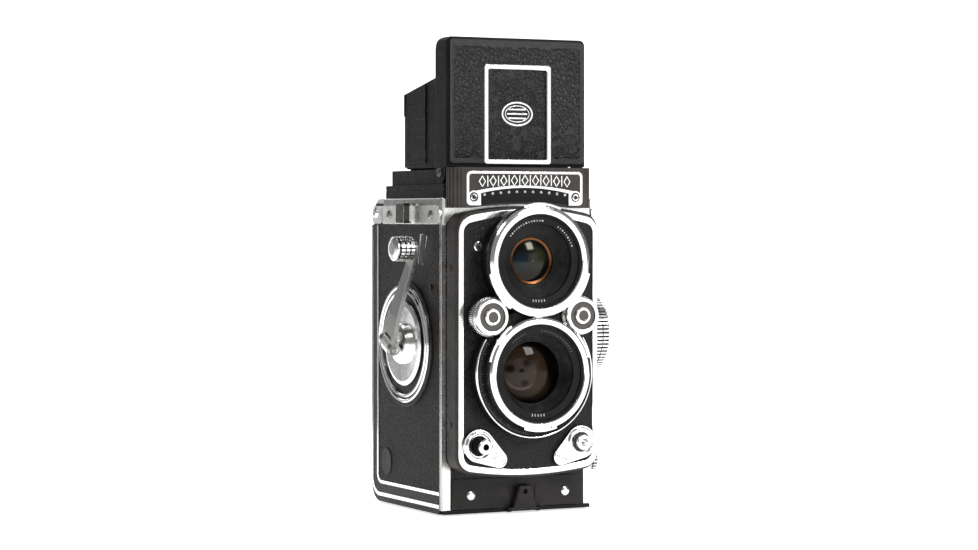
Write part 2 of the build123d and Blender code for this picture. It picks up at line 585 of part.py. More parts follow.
with BuildPart() as sports_flap:
    box(-WINDOW_HALF + 0.4, WINDOW_HALF - 0.4, -37.3, -36.2, WINDOW_LOW + 0.4, WINDOW_HIGH - 0.5)
    rod_x(-14, 14, FLAP_PIVOT_Y, FLAP_PIVOT_Z, 0.9)
    rod_x(-WINDOW_HALF - 1.2, WINDOW_HALF + 1.2, FLAP_PIVOT_Y, FLAP_PIVOT_Z, 0.4)
sports_flap.part.label = "sports_flap"
export_step(sports_flap.part, "parts/sports_flap.step")

MAG_PIVOT = (-34.0, 199.0)
MAG_MID_Z = 183.5
with BuildPart() as magnifier_frame:
    with BuildSketch(front(-33.0)):
        with Locations((0, MAG_MID_Z)):
            RectangleRounded(26, 27, 3)
            Circle(11.1, mode=Mode.SUBTRACT)
    extrude(amount=2.0)
    box(-11.5, -9.5, -35.0, -33.0, 196, 198.6)
    box(9.5, 11.5, -35.0, -33.0, 196, 198.6)
    rod_x(-12, 12, MAG_PIVOT[0], MAG_PIVOT[1], 0.9)
magnifier_frame.part.label = "magnifier_frame"
export_step(magnifier_frame.part, "parts/magnifier_frame.step")

with BuildPart() as magnifier_lens:
    with BuildSketch(side(0)):
        with BuildLine():
            Polyline([(-35.0, MAG_MID_Z), (-35.0, MAG_MID_Z + 11.05), (-33.9, MAG_MID_Z + 11.05)])
            lens_face(-33.9, MAG_MID_Z, 11.05, 1.8)
            Line((-32.1, MAG_MID_Z), (-35.0, MAG_MID_Z))
        make_face()
    revolve(axis=Axis((0, 0, MAG_MID_Z), (0, 1, 0)))
magnifier_lens.part.label = "magnifier_lens"
export_step(magnifier_lens.part, "parts/magnifier_lens.step")

FLAP_REAR = 13.6
FLAP_FRONT = -24.0
FLAP_T = 0.9


def side_flap_solid(s, hinge_z):
    """Standing side flap: sloped top, pressed grooves, stiffening flange and rear lip on its outside."""
    inner = s * (FLAP_X - FLAP_T / 2)
    with BuildSketch(side(inner)) as sheet:
        Polygon([(FLAP_FRONT, hinge_z), (FLAP_REAR, hinge_z), (FLAP_REAR, 192.3), (FLAP_FRONT, 199.4)])
    extrude(sheet.sketch, amount=s * FLAP_T)
    rod_y(FLAP_REAR - 3, FLAP_FRONT + 3, s * FLAP_X, hinge_z, 0.85)
    outer = s * (FLAP_X + FLAP_T / 2)
    # raised field behind the flange
    with BuildSketch(side(outer)) as field:
        Polygon([(-9.0, hinge_z + 2), (9.6, hinge_z + 2), (11.6, 181.5), (11.6, 192.4), (-9.0, 196.2)])
    extrude(field.sketch, amount=s * 0.35)
    for z in (163.2, 171.4, 179.2, 187.0):
        box(*sorted((s * (FLAP_X + 0.6), s * (FLAP_X + 2))), -8.4, 9.4, z, z + 0.8, mode=Mode.SUBTRACT)
    for z0, z1 in ((hinge_z + 2, 165.4), (166.4, 183.6), (184.8, 196.2)):
        box(*sorted((outer, s * (FLAP_X + 1.0))), -9.9, -9.0, z0, z1)
    box(*sorted((outer, s * (FLAP_X + 1.0))), 12.2, 13.4, 182.0, 192.2)


with BuildPart() as side_flap_left:
    side_flap_solid(-1, LEFT_HINGE_Z)
side_flap_left.part.label = "side_flap_left"
export_step(side_flap_left.part, "parts/side_flap_left.step")

with BuildPart() as side_flap_right:
    side_flap_solid(1, RIGHT_HINGE_Z)
side_flap_right.part.label = "side_flap_right"
export_step(side_flap_right.part, "parts/side_flap_right.step")

with BuildPart() as back_flap:
    with BuildSketch(front(BACK_HINGE[0] + FLAP_T / 2)):
        Polygon([(-30.6, BACK_HINGE[1]), (30.6, BACK_HINGE[1]), (30.6, 191.6), (-30.6, 191.6)])
    extrude(amount=FLAP_T)
    rod_x(-27, 27, BACK_HINGE[0], BACK_HINGE[1], 0.85)
    with BuildSketch(front(BACK_HINGE[0] + FLAP_T / 2 + 0.45)):
        with Locations((0, 177)):
            RectangleRounded(52, 23, 2)
            RectangleRounded(49, 20, 1, mode=Mode.SUBTRACT)
    extrude(amount=0.45)
back_flap.part.label = "back_flap"
export_step(back_flap.part, "parts/back_flap.step")

# ---------------------------------------------------------------- film gate and rollers
with BuildPart() as film_gate:
    box(-32.4, 32.4, 27.05, 28.9, 36.0, 95.0)
    box(-FRAME / 2, FRAME / 2, 20, 30, TAKE_Z - FRAME / 2, TAKE_Z + FRAME / 2, mode=Mode.SUBTRACT)
    for s in both_sides():
        box(*sorted((s * 29.4, s * 30.6)), 28.8, 29.1, 36.5, 94.5)
film_gate.part.label = "film_gate"
export_step(film_gate.part, "parts/film_gate.step")

for name, (roller_y, roller_z, roller_r) in ROLLERS.items():
    with BuildPart() as roller:
        rod_x(-32.6, 32.6, roller_y, roller_z, roller_r)
        box(-28, 28, roller_y - 5, roller_y + 5, roller_z - 5, roller_z + 5, mode=Mode.SUBTRACT)
        rod_x(-28.1, 28.1, roller_y, roller_z, roller_r - 0.4)
        rod_x(-33, 33, roller_y, roller_z, 1.2 + RUNNING, mode=Mode.SUBTRACT)
    roller.part.label = name
    export_step(roller.part, f"parts/{name}.step")

# ================================================================ back door
DOOR_SHEET_X = 37.35
DOOR_SEAM = 0.05
FLANGE_X = 37.4
with BuildPart() as back_door:
    # back wall and base plate, with a rounded corner let in between them at hairline seams
    box(-DOOR_SHEET_X, DOOR_SHEET_X, 36.5, HALF_D, 9.8 + DOOR_SEAM, 131.6)
    box(-DOOR_SHEET_X, DOOR_SHEET_X, FRONT_Y, HALF_D - 9 - DOOR_SEAM, 0.8, 2.4)
    with BuildSketch(side(-DOOR_SHEET_X)):
        with BuildLine():
            ThreePointArc((HALF_D, 9.8), (HALF_D - 2.64, 3.44), (HALF_D - 9, 0.8))
            Polyline([(HALF_D - 9, 0.8), (HALF_D - 9, 2.4), (30.4, 2.4), (36.5, 8.5), (36.5, 9.8),
                      (HALF_D, 9.8)])
        make_face()
    extrude(amount=2 * DOOR_SHEET_X)
    for s in both_sides():
        # side flange, let in at the end of the folded sheet
        with BuildSketch(side(s * FLANGE_X)):
            with BuildLine():
                Polyline([(HALF_D, 131.4), (HALF_D, 9.8)])
                ThreePointArc((HALF_D, 9.8), (HALF_D - 2.64, 3.44), (HALF_D - 9, 0.8))
                Polyline([(HALF_D - 9, 0.8), (-35.8, 0.8), (-35.8, DOOR_FLANGE_Z),
                          (DOOR_FLANGE_Y - 6, DOOR_FLANGE_Z)])
                RadiusArc((DOOR_FLANGE_Y - 6, DOOR_FLANGE_Z), (DOOR_FLANGE_Y, DOOR_FLANGE_Z + 6), -6)
                Polyline([(DOOR_FLANGE_Y, DOOR_FLANGE_Z + 6), (DOOR_FLANGE_Y, 131.4), (HALF_D, 131.4)])
            make_face()
            # ear round the hinge pin
            Polygon([(HINGE_Y - 1.5, 130), (HINGE_Y - 3.5, HINGE_Z), (HINGE_Y + 3.5, HINGE_Z),
                     (HINGE_Y + 4.5, 130)])
            with Locations((HINGE_Y, HINGE_Z)):
                Circle(4.3)
        extrude(amount=s * (HALF_W - FLANGE_X))
        rod_x(s * 36, s * 40, HINGE_Y, HINGE_Z, 1.6 + RUNNING, mode=Mode.SUBTRACT)
    # lugs for the latch
    for x in (LATCH_X - 8.0, LATCH_X + 6.6):
        with BuildSketch(side(x)):
            with Locations(LATCH_PIVOT):
                Circle(1.2)
            Polygon([(-40.4, 0.8), (FRONT_Y + 0.5, 0.8), (FRONT_Y + 0.5, 2.4), (-39.8, 3.0)])
        extrude(amount=1.4)
    rod_x(LATCH_X - 9, LATCH_X + 9, *LATCH_PIVOT, 0.9, mode=Mode.SUBTRACT)
    # hole for the tripod bush, and four feet
    with BuildSketch(Plane.XY):
        Circle(7.0)
    extrude(amount=5, mode=Mode.SUBTRACT)
    for x in (-29, 29):
        for y in (-29, 27):
            with BuildSketch(Plane.XY):
                with Locations((x, y)):
                    Circle(3.0)
            extrude(amount=0.8)
back_door.part.label = "back_door"
export_step(back_door.part, "parts/back_door.step")

with BuildPart() as tripod_bush:
    with BuildSketch(Plane.XY):
        Circle(8.5)
    extrude(amount=0.75)
    with BuildSketch(Plane.XY):
        Circle(6.95)
    extrude(amount=5.6)
    with BuildSketch(Plane.XY):
        Circle(THREAD_R)
    extrude(amount=5.6, mode=Mode.SUBTRACT)
tripod_bush.part.label = "tripod_bush"
export_step(tripod_bush.part, "parts/tripod_bush.step")

with BuildPart() as back_leather:
    with BuildSketch(front(HALF_D + SKIN)):
        with Locations((0, 70)):
            RectangleRounded(BODY_W - 3.2, 114, 3)
    extrude(amount=SKIN)
    for s in both_sides():
        # leather strip in the flange, between the two bright lines
        with BuildSketch(side(s * HALF_W)):
            Polygon([(33.2, 16), (35.8, 16), (35.8, 130.8), (33.2, 130.8)])
            Polygon([(-35.6, 5.5), (26, 5.5), (26, 8.9), (-35.6, 8.9)])
        extrude(amount=s * 0.12)
back_leather.part.label = "back_leather"
export_step(back_leather.part, "parts/back_leather.step")

with BuildPart() as back_trims:
    for s in both_sides():
        with BuildSketch(side(s * HALF_W)):
            for inset, width in ((0.0, 1.7), (6.2, 1.5)):
                r = 9 - inset if inset < 1 else 5
                y_out = HALF_D - inset
                z_out = 3.4 + inset * 0.95 if inset else 3.4
                w = width
                with BuildLine():
                    Polyline([(y_out, 131.2), (y_out, z_out + r)])
                    RadiusArc((y_out, z_out + r), (y_out - r, z_out), r)
                    Polyline([(y_out - r, z_out), (-35.8, z_out), (-35.8, z_out + w),
                              (y_out - r, z_out + w)])
                    RadiusArc((y_out - r, z_out + w), (y_out - w, z_out + r), -(r - w))
                    Polyline([(y_out - w, z_out + r), (y_out - w, 131.2), (y_out, 131.2)])
                make_face()
        extrude(amount=s * 0.2)
back_trims.part.label = "back_trims"
export_step(back_trims.part, "parts/back_trims.step")

with BuildPart() as back_latch:
    with BuildSketch(front(FRONT_Y - 0.4)):
        Polygon([(LATCH_X - 6.0, 2.9), (LATCH_X + 6.0, 2.9), (LATCH_X + 2.9, 12.8), (LATCH_X - 2.9, 12.8)])
    extrude(amount=3.4)
    fillet(back_latch.edges().group_by(Axis.Y)[0], 0.7)
    # finger dimple and the hole of its spring detent
    rod_y(FRONT_Y - 2, FRONT_Y - 5, LATCH_X, 10.1, 1.2, mode=Mode.SUBTRACT)
    rod_x(LATCH_X - 7.9, LATCH_X + 7.9, *LATCH_PIVOT, 0.85)
    box(LATCH_X - 5.8, LATCH_X + 5.8, LATCH_PIVOT[0] - 0.7, LATCH_PIVOT[0] + 0.7, 2.0, 3.2)
back_latch.part.label = "back_latch"
export_step(back_latch.part, "parts/back_latch.step")

with BuildPart() as pressure_plate:
    box(-30, 30, 30.2, 31.6, 37.5, 92)
    for z in (48, 80):
        rod_y(35.4, 31.5, 0, z, 4.0)
pressure_plate.part.label = "pressure_plate"
export_step(pressure_plate.part, "parts/pressure_plate.step")

# ================================================================ front standard
STD_FRONT = -48.5
STD_REAR = FRONT_Y - 0.7
STD_X = 36.2
with BuildPart() as standard_housing:
    with BuildSketch(front(STD_REAR)):
        crowned(STD_X, 21.0, 17.2, 135.4, 139.9, 8.0)
    extrude(amount=STD_REAR - STD_FRONT)
    fillet(standard_housing.faces().sort_by(Axis.Y)[0].edges(), 1.1)
    with BuildSketch(front(STD_REAR + 1)):
        crowned(STD_X - 2, 23.0, 19.2, 133.4, 137.9, 6.0)
    extrude(amount=STD_REAR + 1 - STD_FRONT - 2.2, mode=Mode.SUBTRACT)
    for x, z in POSTS:
        rod_y(-27.5, STD_FRONT + 1, x, z, POST_R)
    rod_y(-40, -52, 0, VIEW_Z, 12.6, mode=Mode.SUBTRACT)
    rod_y(-40, -52, 0, TAKE_Z, 16.6, mode=Mode.SUBTRACT)
    # side screws
    for s in both_sides():
        for z in (41.4, 112.0):
            rod_x(s * (STD_X - 0.5), s * (STD_X + 0.5), -42.5, z, 1.5)
    # bores for the wheels' spindles and the release plunger
    for s in both_sides():
        rod_y(-40, -52, s * 22.9, 90.3, 2.0 + RUNNING, mode=Mode.SUBTRACT)
        rod_y(-40, -52, s * 26.0, 32.4, 2.4 + RUNNING, mode=Mode.SUBTRACT)
standard_housing.part.label = "standard_housing"
export_step(standard_housing.part, "parts/standard_housing.step")

WHEELS = {"aperture_wheel": -22.9, "shutter_wheel": 22.9}
WHEEL_Z = 90.3
LEVER_BIG = (26.0, 32.4)
with BuildPart() as standard_leather:
    with BuildSketch(front(STD_FRONT)):
        crowned(32.6, 24.7, 21.3, 131.3, 135.6, 4.4)
        with Locations((0, VIEW_Z), (0, TAKE_Z)):
            Circle(24.0, mode=Mode.SUBTRACT)
        with Locations(*[(x, WHEEL_Z) for x in WHEELS.values()]):
            Circle(3.2, mode=Mode.SUBTRACT)
        with Locations(*[(s * LEVER_BIG[0], LEVER_BIG[1]) for s in both_sides()]):
            Circle(5.0, mode=Mode.SUBTRACT)
        with Locations((-25.5, 121.8)):
            Circle(2.4, mode=Mode.SUBTRACT)
    extrude(amount=0.5)
standard_leather.part.label = "standard_leather"
export_step(standard_leather.part, "parts/standard_leather.step")

with BuildPart() as standard_trim:
    with BuildSketch(front(STD_FRONT)):
        crowned(35.3, 21.9, 18.4, 134.1, 138.6, 7.2)
        crowned_inner = 32.7
        with BuildSketch(mode=Mode.SUBTRACT):
            crowned(crowned_inner, 24.6, 21.2, 131.4, 135.7, 4.5)
    extrude(amount=1.0)
    chamfer(standard_trim.faces().sort_by(Axis.Y)[0].edges(), 0.25)
    rod_y(STD_FRONT + 1, STD_FRONT - 2, 0, VIEW_Z, 24.0, mode=Mode.SUBTRACT)
    # small ring in the upper corner
    turn_y([(STD_FRONT, 0.9), (STD_FRONT, 2.3), (STD_FRONT - 1.1, 2.3), (STD_FRONT - 1.5, 1.9),
            (STD_FRONT - 1.5, 0.9)],
           -25.5, 121.8)
standard_trim.part.label = "standard_trim"
export_step(standard_trim.part, "parts/standard_trim.step")


def lens_barrel(z, inner, glass_r, tube_r, seat_y):
    """Black barrel with a stepped, tapering front baffle and a rear tube."""
    turn_y([(STD_FRONT - 0.02, glass_r + 0.2), (STD_FRONT - 0.02, 23.9), (-57.4, 23.9),
            (-57.4, inner - 0.1), (-60.2, inner - 0.1),
            (-60.2, inner - 1.0), (-59.0, inner - 1.4), (-58.6, inner - 4.6), (-57.4, inner - 5.0),
            (seat_y - 2.0, glass_r + 0.6), (seat_y - 2.0, glass_r + 0.2)], 0, z)
    turn_y([(STD_FRONT - 0.2, tube_r - 1.0), (STD_FRONT - 0.2, tube_r), (-34.2, tube_r),
            (-34.2, tube_r - 1.0)], 0, z)


def lens_bezel(z, outer, inner, lugs):
    """Bright front ring with bayonet lugs, given as (start, sweep) angles."""
    turn_y([(-55.6, 24.0), (-55.6, outer - 0.5), (-56.0, outer), (-60.4, outer), (-60.9, outer - 0.7),
            (RIM_Y, inner + 2.2),
            (RIM_Y, inner + 0.5), (-60.9, inner), (-57.5, inner), (-57.5, 24.0)], 0, z)
    for start, sweep in lugs:
        with BuildSketch(front(-59.0)) as lug:
            sector(0, z, outer - 0.2, outer + 1.0, start, sweep)
        extrude(lug.sketch, amount=1.4)


with BuildPart() as lens_barrels:
    lens_barrel(VIEW_Z, 21.2, 10.6, 12.5, -50.0)
    lens_barrel(TAKE_Z, 22.2, 13.8, 15.0, -50.0)
lens_barrels.part.label = "lens_barrels"
export_step(lens_barrels.part, "parts/lens_barrels.step")

with BuildPart() as lens_bezels:
    lens_bezel(VIEW_Z, 25.1, 21.2, ((193, 42), (315, 32), (66, 42)))
    lens_bezel(TAKE_Z, 25.2, 22.2, ((124, 43), (15, 28), (252, 37)))
lens_bezels.part.label = "lens_bezels"
export_step(lens_bezels.part, "parts/lens_bezels.step")


def lens_elements(z, front_r, rear_r, front_y, rear_y, bulge):
    """Front meniscus and rear element as two solids."""
    with BuildSketch(side(0)) as front_half:
        with BuildLine() as edges:
            Polyline([(front_y + 2.5, z), (front_y + 2.5, z + front_r), (front_y, z + front_r)])
            lens_face(front_y, z, front_r, -bulge)
            Line((front_y - bulge, z), (front_y + 2.5, z))
        make_face(edges.edges())
    revolve(front_half.sketch, axis=Axis((0, 0, z), (0, 1, 0)))
    with BuildSketch(side(0)) as rear_half:
        with BuildLine() as edges:
            Polyline([(rear_y - 2.0, z), (rear_y - 2.0, z + rear_r), (rear_y, z + rear_r)])
            lens_face(rear_y, z, rear_r, 1.2)
            Line((rear_y + 1.2, z), (rear_y - 2.0, z))
        make_face(edges.edges())
    revolve(rear_half.sketch, axis=Axis((0, 0, z), (0, 1, 0)))


with BuildPart() as viewing_lens:
    lens_elements(VIEW_Z, 10.6, 11.4, -50.4, -36.4, 2.6)
viewing_lens.part.label = "viewing_lens"
export_step(viewing_lens.part, "parts/viewing_lens.step")

with BuildPart() as taking_lens:
    lens_elements(TAKE_Z, 13.8, 13.8, -50.4, -36.4, 3.2)
taking_lens.part.label = "taking_lens"
export_step(taking_lens.part, "parts/taking_lens.step")

with BuildPart() as shutter_unit:
    # leaf shutter and iris in one ring behind the front element
    turn_y([(-46.8, 7.5), (-46.8, 13.9), (-42.0, 13.9), (-42.0, 12.0), (-44.0, 12.0), (-44.0, 7.5)],
           0, TAKE_Z)
    for i in range(5):
        with BuildSketch(front(-45.0)):
            sector(0, TAKE_Z, 3.2, 7.7, 72 * i, 66)
        extrude(amount=0.3)
shutter_unit.part.label = "shutter_unit"
export_step(shutter_unit.part, "parts/shutter_unit.step")

SCALE_R = 29.4
with BuildPart() as scale_ring:
    turn_y([(-49.75, 24.0), (-49.75, SCALE_R - 0.6), (-50.5, SCALE_R), (-55.0, SCALE_R),
            (-55.4, SCALE_R - 0.4),
            (-55.4, SCALE_R - 1.0), (-54.9, SCALE_R - 1.0), (-54.9, 24.0)], 0, TAKE_Z)
    for x in WHEELS.values():
        rod_y(-40, -60, x, WHEEL_Z, 9.6, mode=Mode.SUBTRACT)
    rod_y(-40, -60, 0, VIEW_Z, 25.4, mode=Mode.SUBTRACT)
scale_ring.part.label = "scale_ring"
export_step(scale_ring.part, "parts/scale_ring.step")

for name, x in WHEELS.items():
    with BuildPart() as wheel:
        # knurled skirt, flat face with a step and a raised boss
        with BuildSketch(front(-52.6)):
            teeth(60, 8.55, 8.95, 0.5, x, WHEEL_Z)
        extrude(amount=2.7)
        turn_y([(-55.2, 0), (-55.2, 8.2), (-58.2, 8.2), (-58.7, 7.7), (-58.7, 6.4), (-57.9, 6.2),
                (-57.9, 4.0),
                (-58.9, 3.8), (-59.3, 3.4), (-59.3, 2.5), (-58.9, 2.3), (-58.9, 0)], x, WHEEL_Z)
        turn_y([(-46.5, 0), (-46.5, 2.0), (-49.8, 2.0), (-49.8, 3.0), (-52.7, 3.0), (-52.7, 0)], x, WHEEL_Z)
    wheel.part.label = name
    export_step(wheel.part, f"parts/{name}.step")

LEVER_SMALL = (15.7, 25.9)
LEVER_Y = (-49.9, -51.2)


def tear_drop(s, hole_r):
    """Locking lever: a plate tapering from the collar to a ribbed finger end."""
    (bx, bz), (sx, sz) = LEVER_BIG, LEVER_SMALL
    spread = degrees(atan2(sz - bz, sx - bx))
    lean = degrees(atan2(7.4 - 3.7, hypot(sx - bx, sz - bz)))
    with BuildSketch(front(LEVER_Y[0])) as plate:
        corners = []
        for cx, cz, r, sign in ((bx, bz, 7.4, 1), (sx, sz, 3.7, 1), (sx, sz, 3.7, -1), (bx, bz, 7.4, -1)):
            a = radians(spread + sign * (90 - lean))
            corners.append((s * (cx + r * cos(a)), cz + r * sin(a)))
        Polygon(corners)
        with Locations((s * bx, bz)):
            Circle(7.4)
        with Locations((s * sx, sz)):
            Circle(3.7)
        with Locations((s * bx, bz)):
            Circle(hole_r, mode=Mode.SUBTRACT)
    extrude(plate.sketch, amount=LEVER_Y[0] - LEVER_Y[1])
    # raised collar
    turn_y([(-51.1, 5.3), (-51.1, 6.7), (-52.0, 6.7), (-52.3, 6.3), (-52.3, 5.7), (-52.0, 5.3)], s * bx, bz)
    # ribs on the finger end
    for r in (0.9, 2.0, 3.1):
        turn_y([(-51.1, r - 0.25), (-51.1, r + 0.25), (-51.6, r + 0.2), (-51.6, r - 0.2)], s * sx, sz)


with BuildPart() as release_lock:
    tear_drop(-1, 4.6)
release_lock.part.label = "release_lock"
export_step(release_lock.part, "parts/release_lock.step")

with BuildPart() as sync_lock:
    tear_drop(1, 4.6)
sync_lock.part.label = "sync_lock"
export_step(sync_lock.part, "parts/sync_lock.step")

with BuildPart() as release_button:
    # threaded for a cable release
    turn_y([(-43.0, 0), (-43.0, 2.4), (-51.6, 2.4), (-51.6, 3.5), (-53.4, 3.5), (-53.4, 2.9), (-56.6, 2.9),
            (-56.6, 3.3),
            (-57.8, 3.3), (-58.2, 2.9), (-58.2, 1.25), (-54.0, 1.25), (-54.0, 0)], -LEVER_BIG[0],
           LEVER_BIG[1])
release_button.part.label = "release_button"
export_step(release_button.part, "parts/release_button.step")

with BuildPart() as sync_socket:
    turn_y([(-46.0, 0), (-46.0, 2.35), (-49.0, 2.35), (-49.0, 4.3), (-51.6, 4.3), (-51.6, 3.5),
            (-54.2, 3.5), (-54.6, 3.1),
            (-54.6, 1.8), (-49.8, 1.8), (-49.8, 0)], LEVER_BIG[0], LEVER_BIG[1])
sync_socket.part.label = "sync_socket"
export_step(sync_socket.part, "parts/sync_socket.step")

# ================================================================ crank side
with BuildPart() as crank_plate:
    turn_x([(-LEATHER_X, 3.4), (-LEATHER_X, 29.3), (-38.9, 29.3), (-39.3, 28.9), (-39.3, 27.6),
            (-38.9, 27.5),
            (-38.9, 3.4)], 0, CRANK_Z)
crank_plate.part.label = "crank_plate"
export_step(crank_plate.part, "parts/crank_plate.step")

with BuildPart() as crank_trims:
    for outer, inner in ((27.4, 25.7), (25.0, 23.4)):
        mid = (outer + inner) / 2
        turn_x([(-38.9, inner), (-38.9, outer), (-39.9, outer), (-40.4, mid + 0.3), (-40.4, mid - 0.3),
                (-39.9, inner)],
               0, CRANK_Z)
    # bracket that the folded crank rests in
    with BuildSketch(side(-HALF_W)):
        Polygon([(-14.0, 119.5), (-23.5, 127.5), (-24.6, 126.6), (-21.0, 113.5), (-18.0, 113.5)])
    extrude(amount=-0.9)
    with BuildSketch(side(-HALF_W - 0.8)):
        Polygon([(-24.6, 126.9), (-23.6, 127.4), (-20.0, 114.0), (-21.1, 113.6)])
    extrude(amount=-2.9)
crank_trims.part.label = "crank_trims"
export_step(crank_trims.part, "parts/crank_trims.step")

CRANK_PIN_X = -46.8
lean = radians(90 + CRANK_LEAN)
ALONG = (cos(lean), sin(lean))          # (Y, Z) direction from the hub to the knob
ACROSS = (-sin(lean), cos(lean))
ARM_PLANE = Plane(origin=(0, 0, CRANK_Z), x_dir=(0, ALONG[0], ALONG[1]), z_dir=(-1, 0, 0))
ARM_SIDE = Plane(origin=(0, 0, CRANK_Z), x_dir=(0, ALONG[0], ALONG[1]), z_dir=(0, ACROSS[0], ACROSS[1]))


def fork_sketch(points):
    """Sketch in the arm's side view from (distance along the arm, distance out from the body)."""
    flip = -1 if ARM_SIDE.y_dir.X > 0 else 1
    Polygon([(u, flip * v) for u, v in points])


with BuildPart() as crank_hub:
    rod_x(-31, -41, 0, CRANK_Z, 3.0)
    # shallow dished disc and domed hub
    turn_x([(-39.3, 0), (-39.3, 19.5), (-40.0, 19.5), (-40.3, 19.1), (-40.7, 17.5), (-40.2, 10.5),
            (-40.2, 9.4),
            (-41.4, 9.4), (-42.5, 8.7), (-43.2, 7.2), (-43.6, 5.0), (-43.7, 2.5), (-43.7, 0)], 0, CRANK_Z)
    # lug block between the fork's ears
    with BuildSketch(ARM_SIDE.offset(-3.2)):
        fork_sketch([(-3.6, 43.4), (3.6, 43.4), (4.0, 46.0), (3.2, 48.8), (1.2, 49.4), (-1.2, 49.4),
                     (-3.2, 48.8),
                     (-4.0, 46.0)])
    extrude(amount=6.4)
    with BuildSketch(ARM_SIDE.offset(-7.2)):
        with Locations((0, (-1 if ARM_SIDE.y_dir.X > 0 else 1) * -CRANK_PIN_X)):
            Circle(1.3)
    extrude(amount=14.4)
    # gear inside the side cover
    with BuildSketch(side(GEAR_X[0])):
        teeth(30, CRANK_GEAR_R - 1.5, CRANK_GEAR_R, 0.45, 0, CRANK_Z)
    extrude(amount=GEAR_X[1] - GEAR_X[0])
crank_hub.part.label = "crank_hub"
export_step(crank_hub.part, "parts/crank_hub.step")

with BuildPart() as crank_arm:
    # plan view of the arm, cut to its side view
    with BuildSketch(ARM_PLANE.offset(42)):
        with BuildLine():
            Polyline([(-1.5, -6.6), (3.0, -6.6), (9.0, -6.0)])
            Spline((9.0, -6.0), (20.0, -4.4), (38.0, -3.2))
            Line((38.0, -3.2), (CRANK_LENGTH, -3.4))
            ThreePointArc((CRANK_LENGTH, -3.4), (CRANK_LENGTH + 3.4, 0), (CRANK_LENGTH, 3.4))
            Line((CRANK_LENGTH, 3.4), (38.0, 3.2))
            Spline((38.0, 3.2), (20.0, 4.4), (9.0, 6.0))
            Polyline([(9.0, 6.0), (3.0, 6.6), (-1.5, 6.6), (-1.5, -6.6)])
        make_face()
    extrude(amount=9)
    with BuildSketch(ARM_SIDE.offset(-10)):
        fork_sketch([(-1.6, 48.2), (5.4, 48.5), (15.0, 48.3), (40.0, 45.3), (60.0, 45.3), (60.0, 43.5),
                     (39.6, 43.5),
                     (15.0, 46.5), (5.4, 46.6), (3.2, 45.4), (-1.6, 45.4)])
    extrude(amount=20, mode=Mode.INTERSECT)
    # gap of the fork, and its rounded ears
    with BuildSketch(ARM_PLANE.offset(40)):
        Polygon([(-8, -3.5), (5.1, -3.5), (5.1, 3.5), (-8, 3.5)])
    extrude(amount=12, mode=Mode.SUBTRACT)
    for s in both_sides():
        with BuildSketch(ARM_SIDE.offset(s * 3.5)):
            with Locations((0, (-1 if ARM_SIDE.y_dir.X > 0 else 1) * -CRANK_PIN_X)):
                Circle(2.7)
        extrude(amount=s * 3.1)
    with BuildSketch(ARM_SIDE.offset(-12)):
        with Locations((0, (-1 if ARM_SIDE.y_dir.X > 0 else 1) * -CRANK_PIN_X)):
            Circle(1.3 + RUNNING)
    extrude(amount=24, mode=Mode.SUBTRACT)
    # spindle of the knob, with a retaining head
    with BuildSketch(ARM_PLANE.offset(45.2)):
        with Locations((CRANK_LENGTH, 0)):
            Circle(1.6)
    extrude(amount=6.6)
crank_arm.part.label = "crank_arm"
export_step(crank_arm.part, "parts/crank_arm.step")

KNOB_YZ = (CRANK_LENGTH * ALONG[0], CRANK_Z + CRANK_LENGTH * ALONG[1])
with BuildPart() as crank_knob:
    ky, kz = KNOB_YZ
    turn_x([(-45.6, 1.6 + RUNNING), (-45.6, 4.8), (-46.2, 5.2), (-53.6, 5.2), (-54.0, 5.5), (-54.5, 5.5),
            (-55.1, 4.6),
            (-55.5, 3.0), (-55.6, 0), (-52.1, 0), (-52.1, 1.6 + RUNNING)], ky, kz)
    for x0 in (-46.3, -48.7, -51.1):
        with BuildSketch(side(x0)):
            teeth(20, 5.1, 5.75, 0.62, ky, kz)
            with Locations((ky, kz)):
                Circle(4.0, mode=Mode.SUBTRACT)
        extrude(amount=-1.8)
crank_knob.part.label = "crank_knob"
export_step(crank_knob.part, "parts/crank_knob.step")

with BuildPart() as idler_gear:
    with BuildSketch(side(GEAR_X[0])):
        teeth(28, IDLER_R - 1.5, IDLER_R, 0.45, IDLER[0], IDLER[1])
        with Locations(IDLER):
            Circle(1.5 + RUNNING, mode=Mode.SUBTRACT)
    extrude(amount=GEAR_X[1] - GEAR_X[0])
idler_gear.part.label = "idler_gear"
export_step(idler_gear.part, "parts/idler_gear.step")


# ================================================================ film spools and their knobs
def spool(y, z):
    """120 film spool with slotted ends."""
    half = SPOOL_LENGTH / 2
    turn_x([(-half, SPOOL_BORE_R), (-half, SPOOL_R), (-half + 1.2, SPOOL_R), (-half + 1.2, SPOOL_CORE_R),
            (half - 1.2, SPOOL_CORE_R), (half - 1.2, SPOOL_R), (half, SPOOL_R), (half, SPOOL_BORE_R)], y, z)


with BuildPart() as supply_spool:
    spool(*SUPPLY)
supply_spool.part.label = "supply_spool"
export_step(supply_spool.part, "parts/supply_spool.step")

with BuildPart() as take_up_spool:
    spool(*TAKE_UP)
    with BuildSketch(side(GEAR_X[0])):
        teeth(23, SPOOL_GEAR_R - 1.5, SPOOL_GEAR_R, 0.45, *TAKE_UP)
    extrude(amount=GEAR_X[1] - GEAR_X[0])
    rod_x(GEAR_X[1] - 0.1, -30.5, TAKE_UP[0], TAKE_UP[1], 2.0)
take_up_spool.part.label = "take_up_spool"
export_step(take_up_spool.part, "parts/take_up_spool.step")

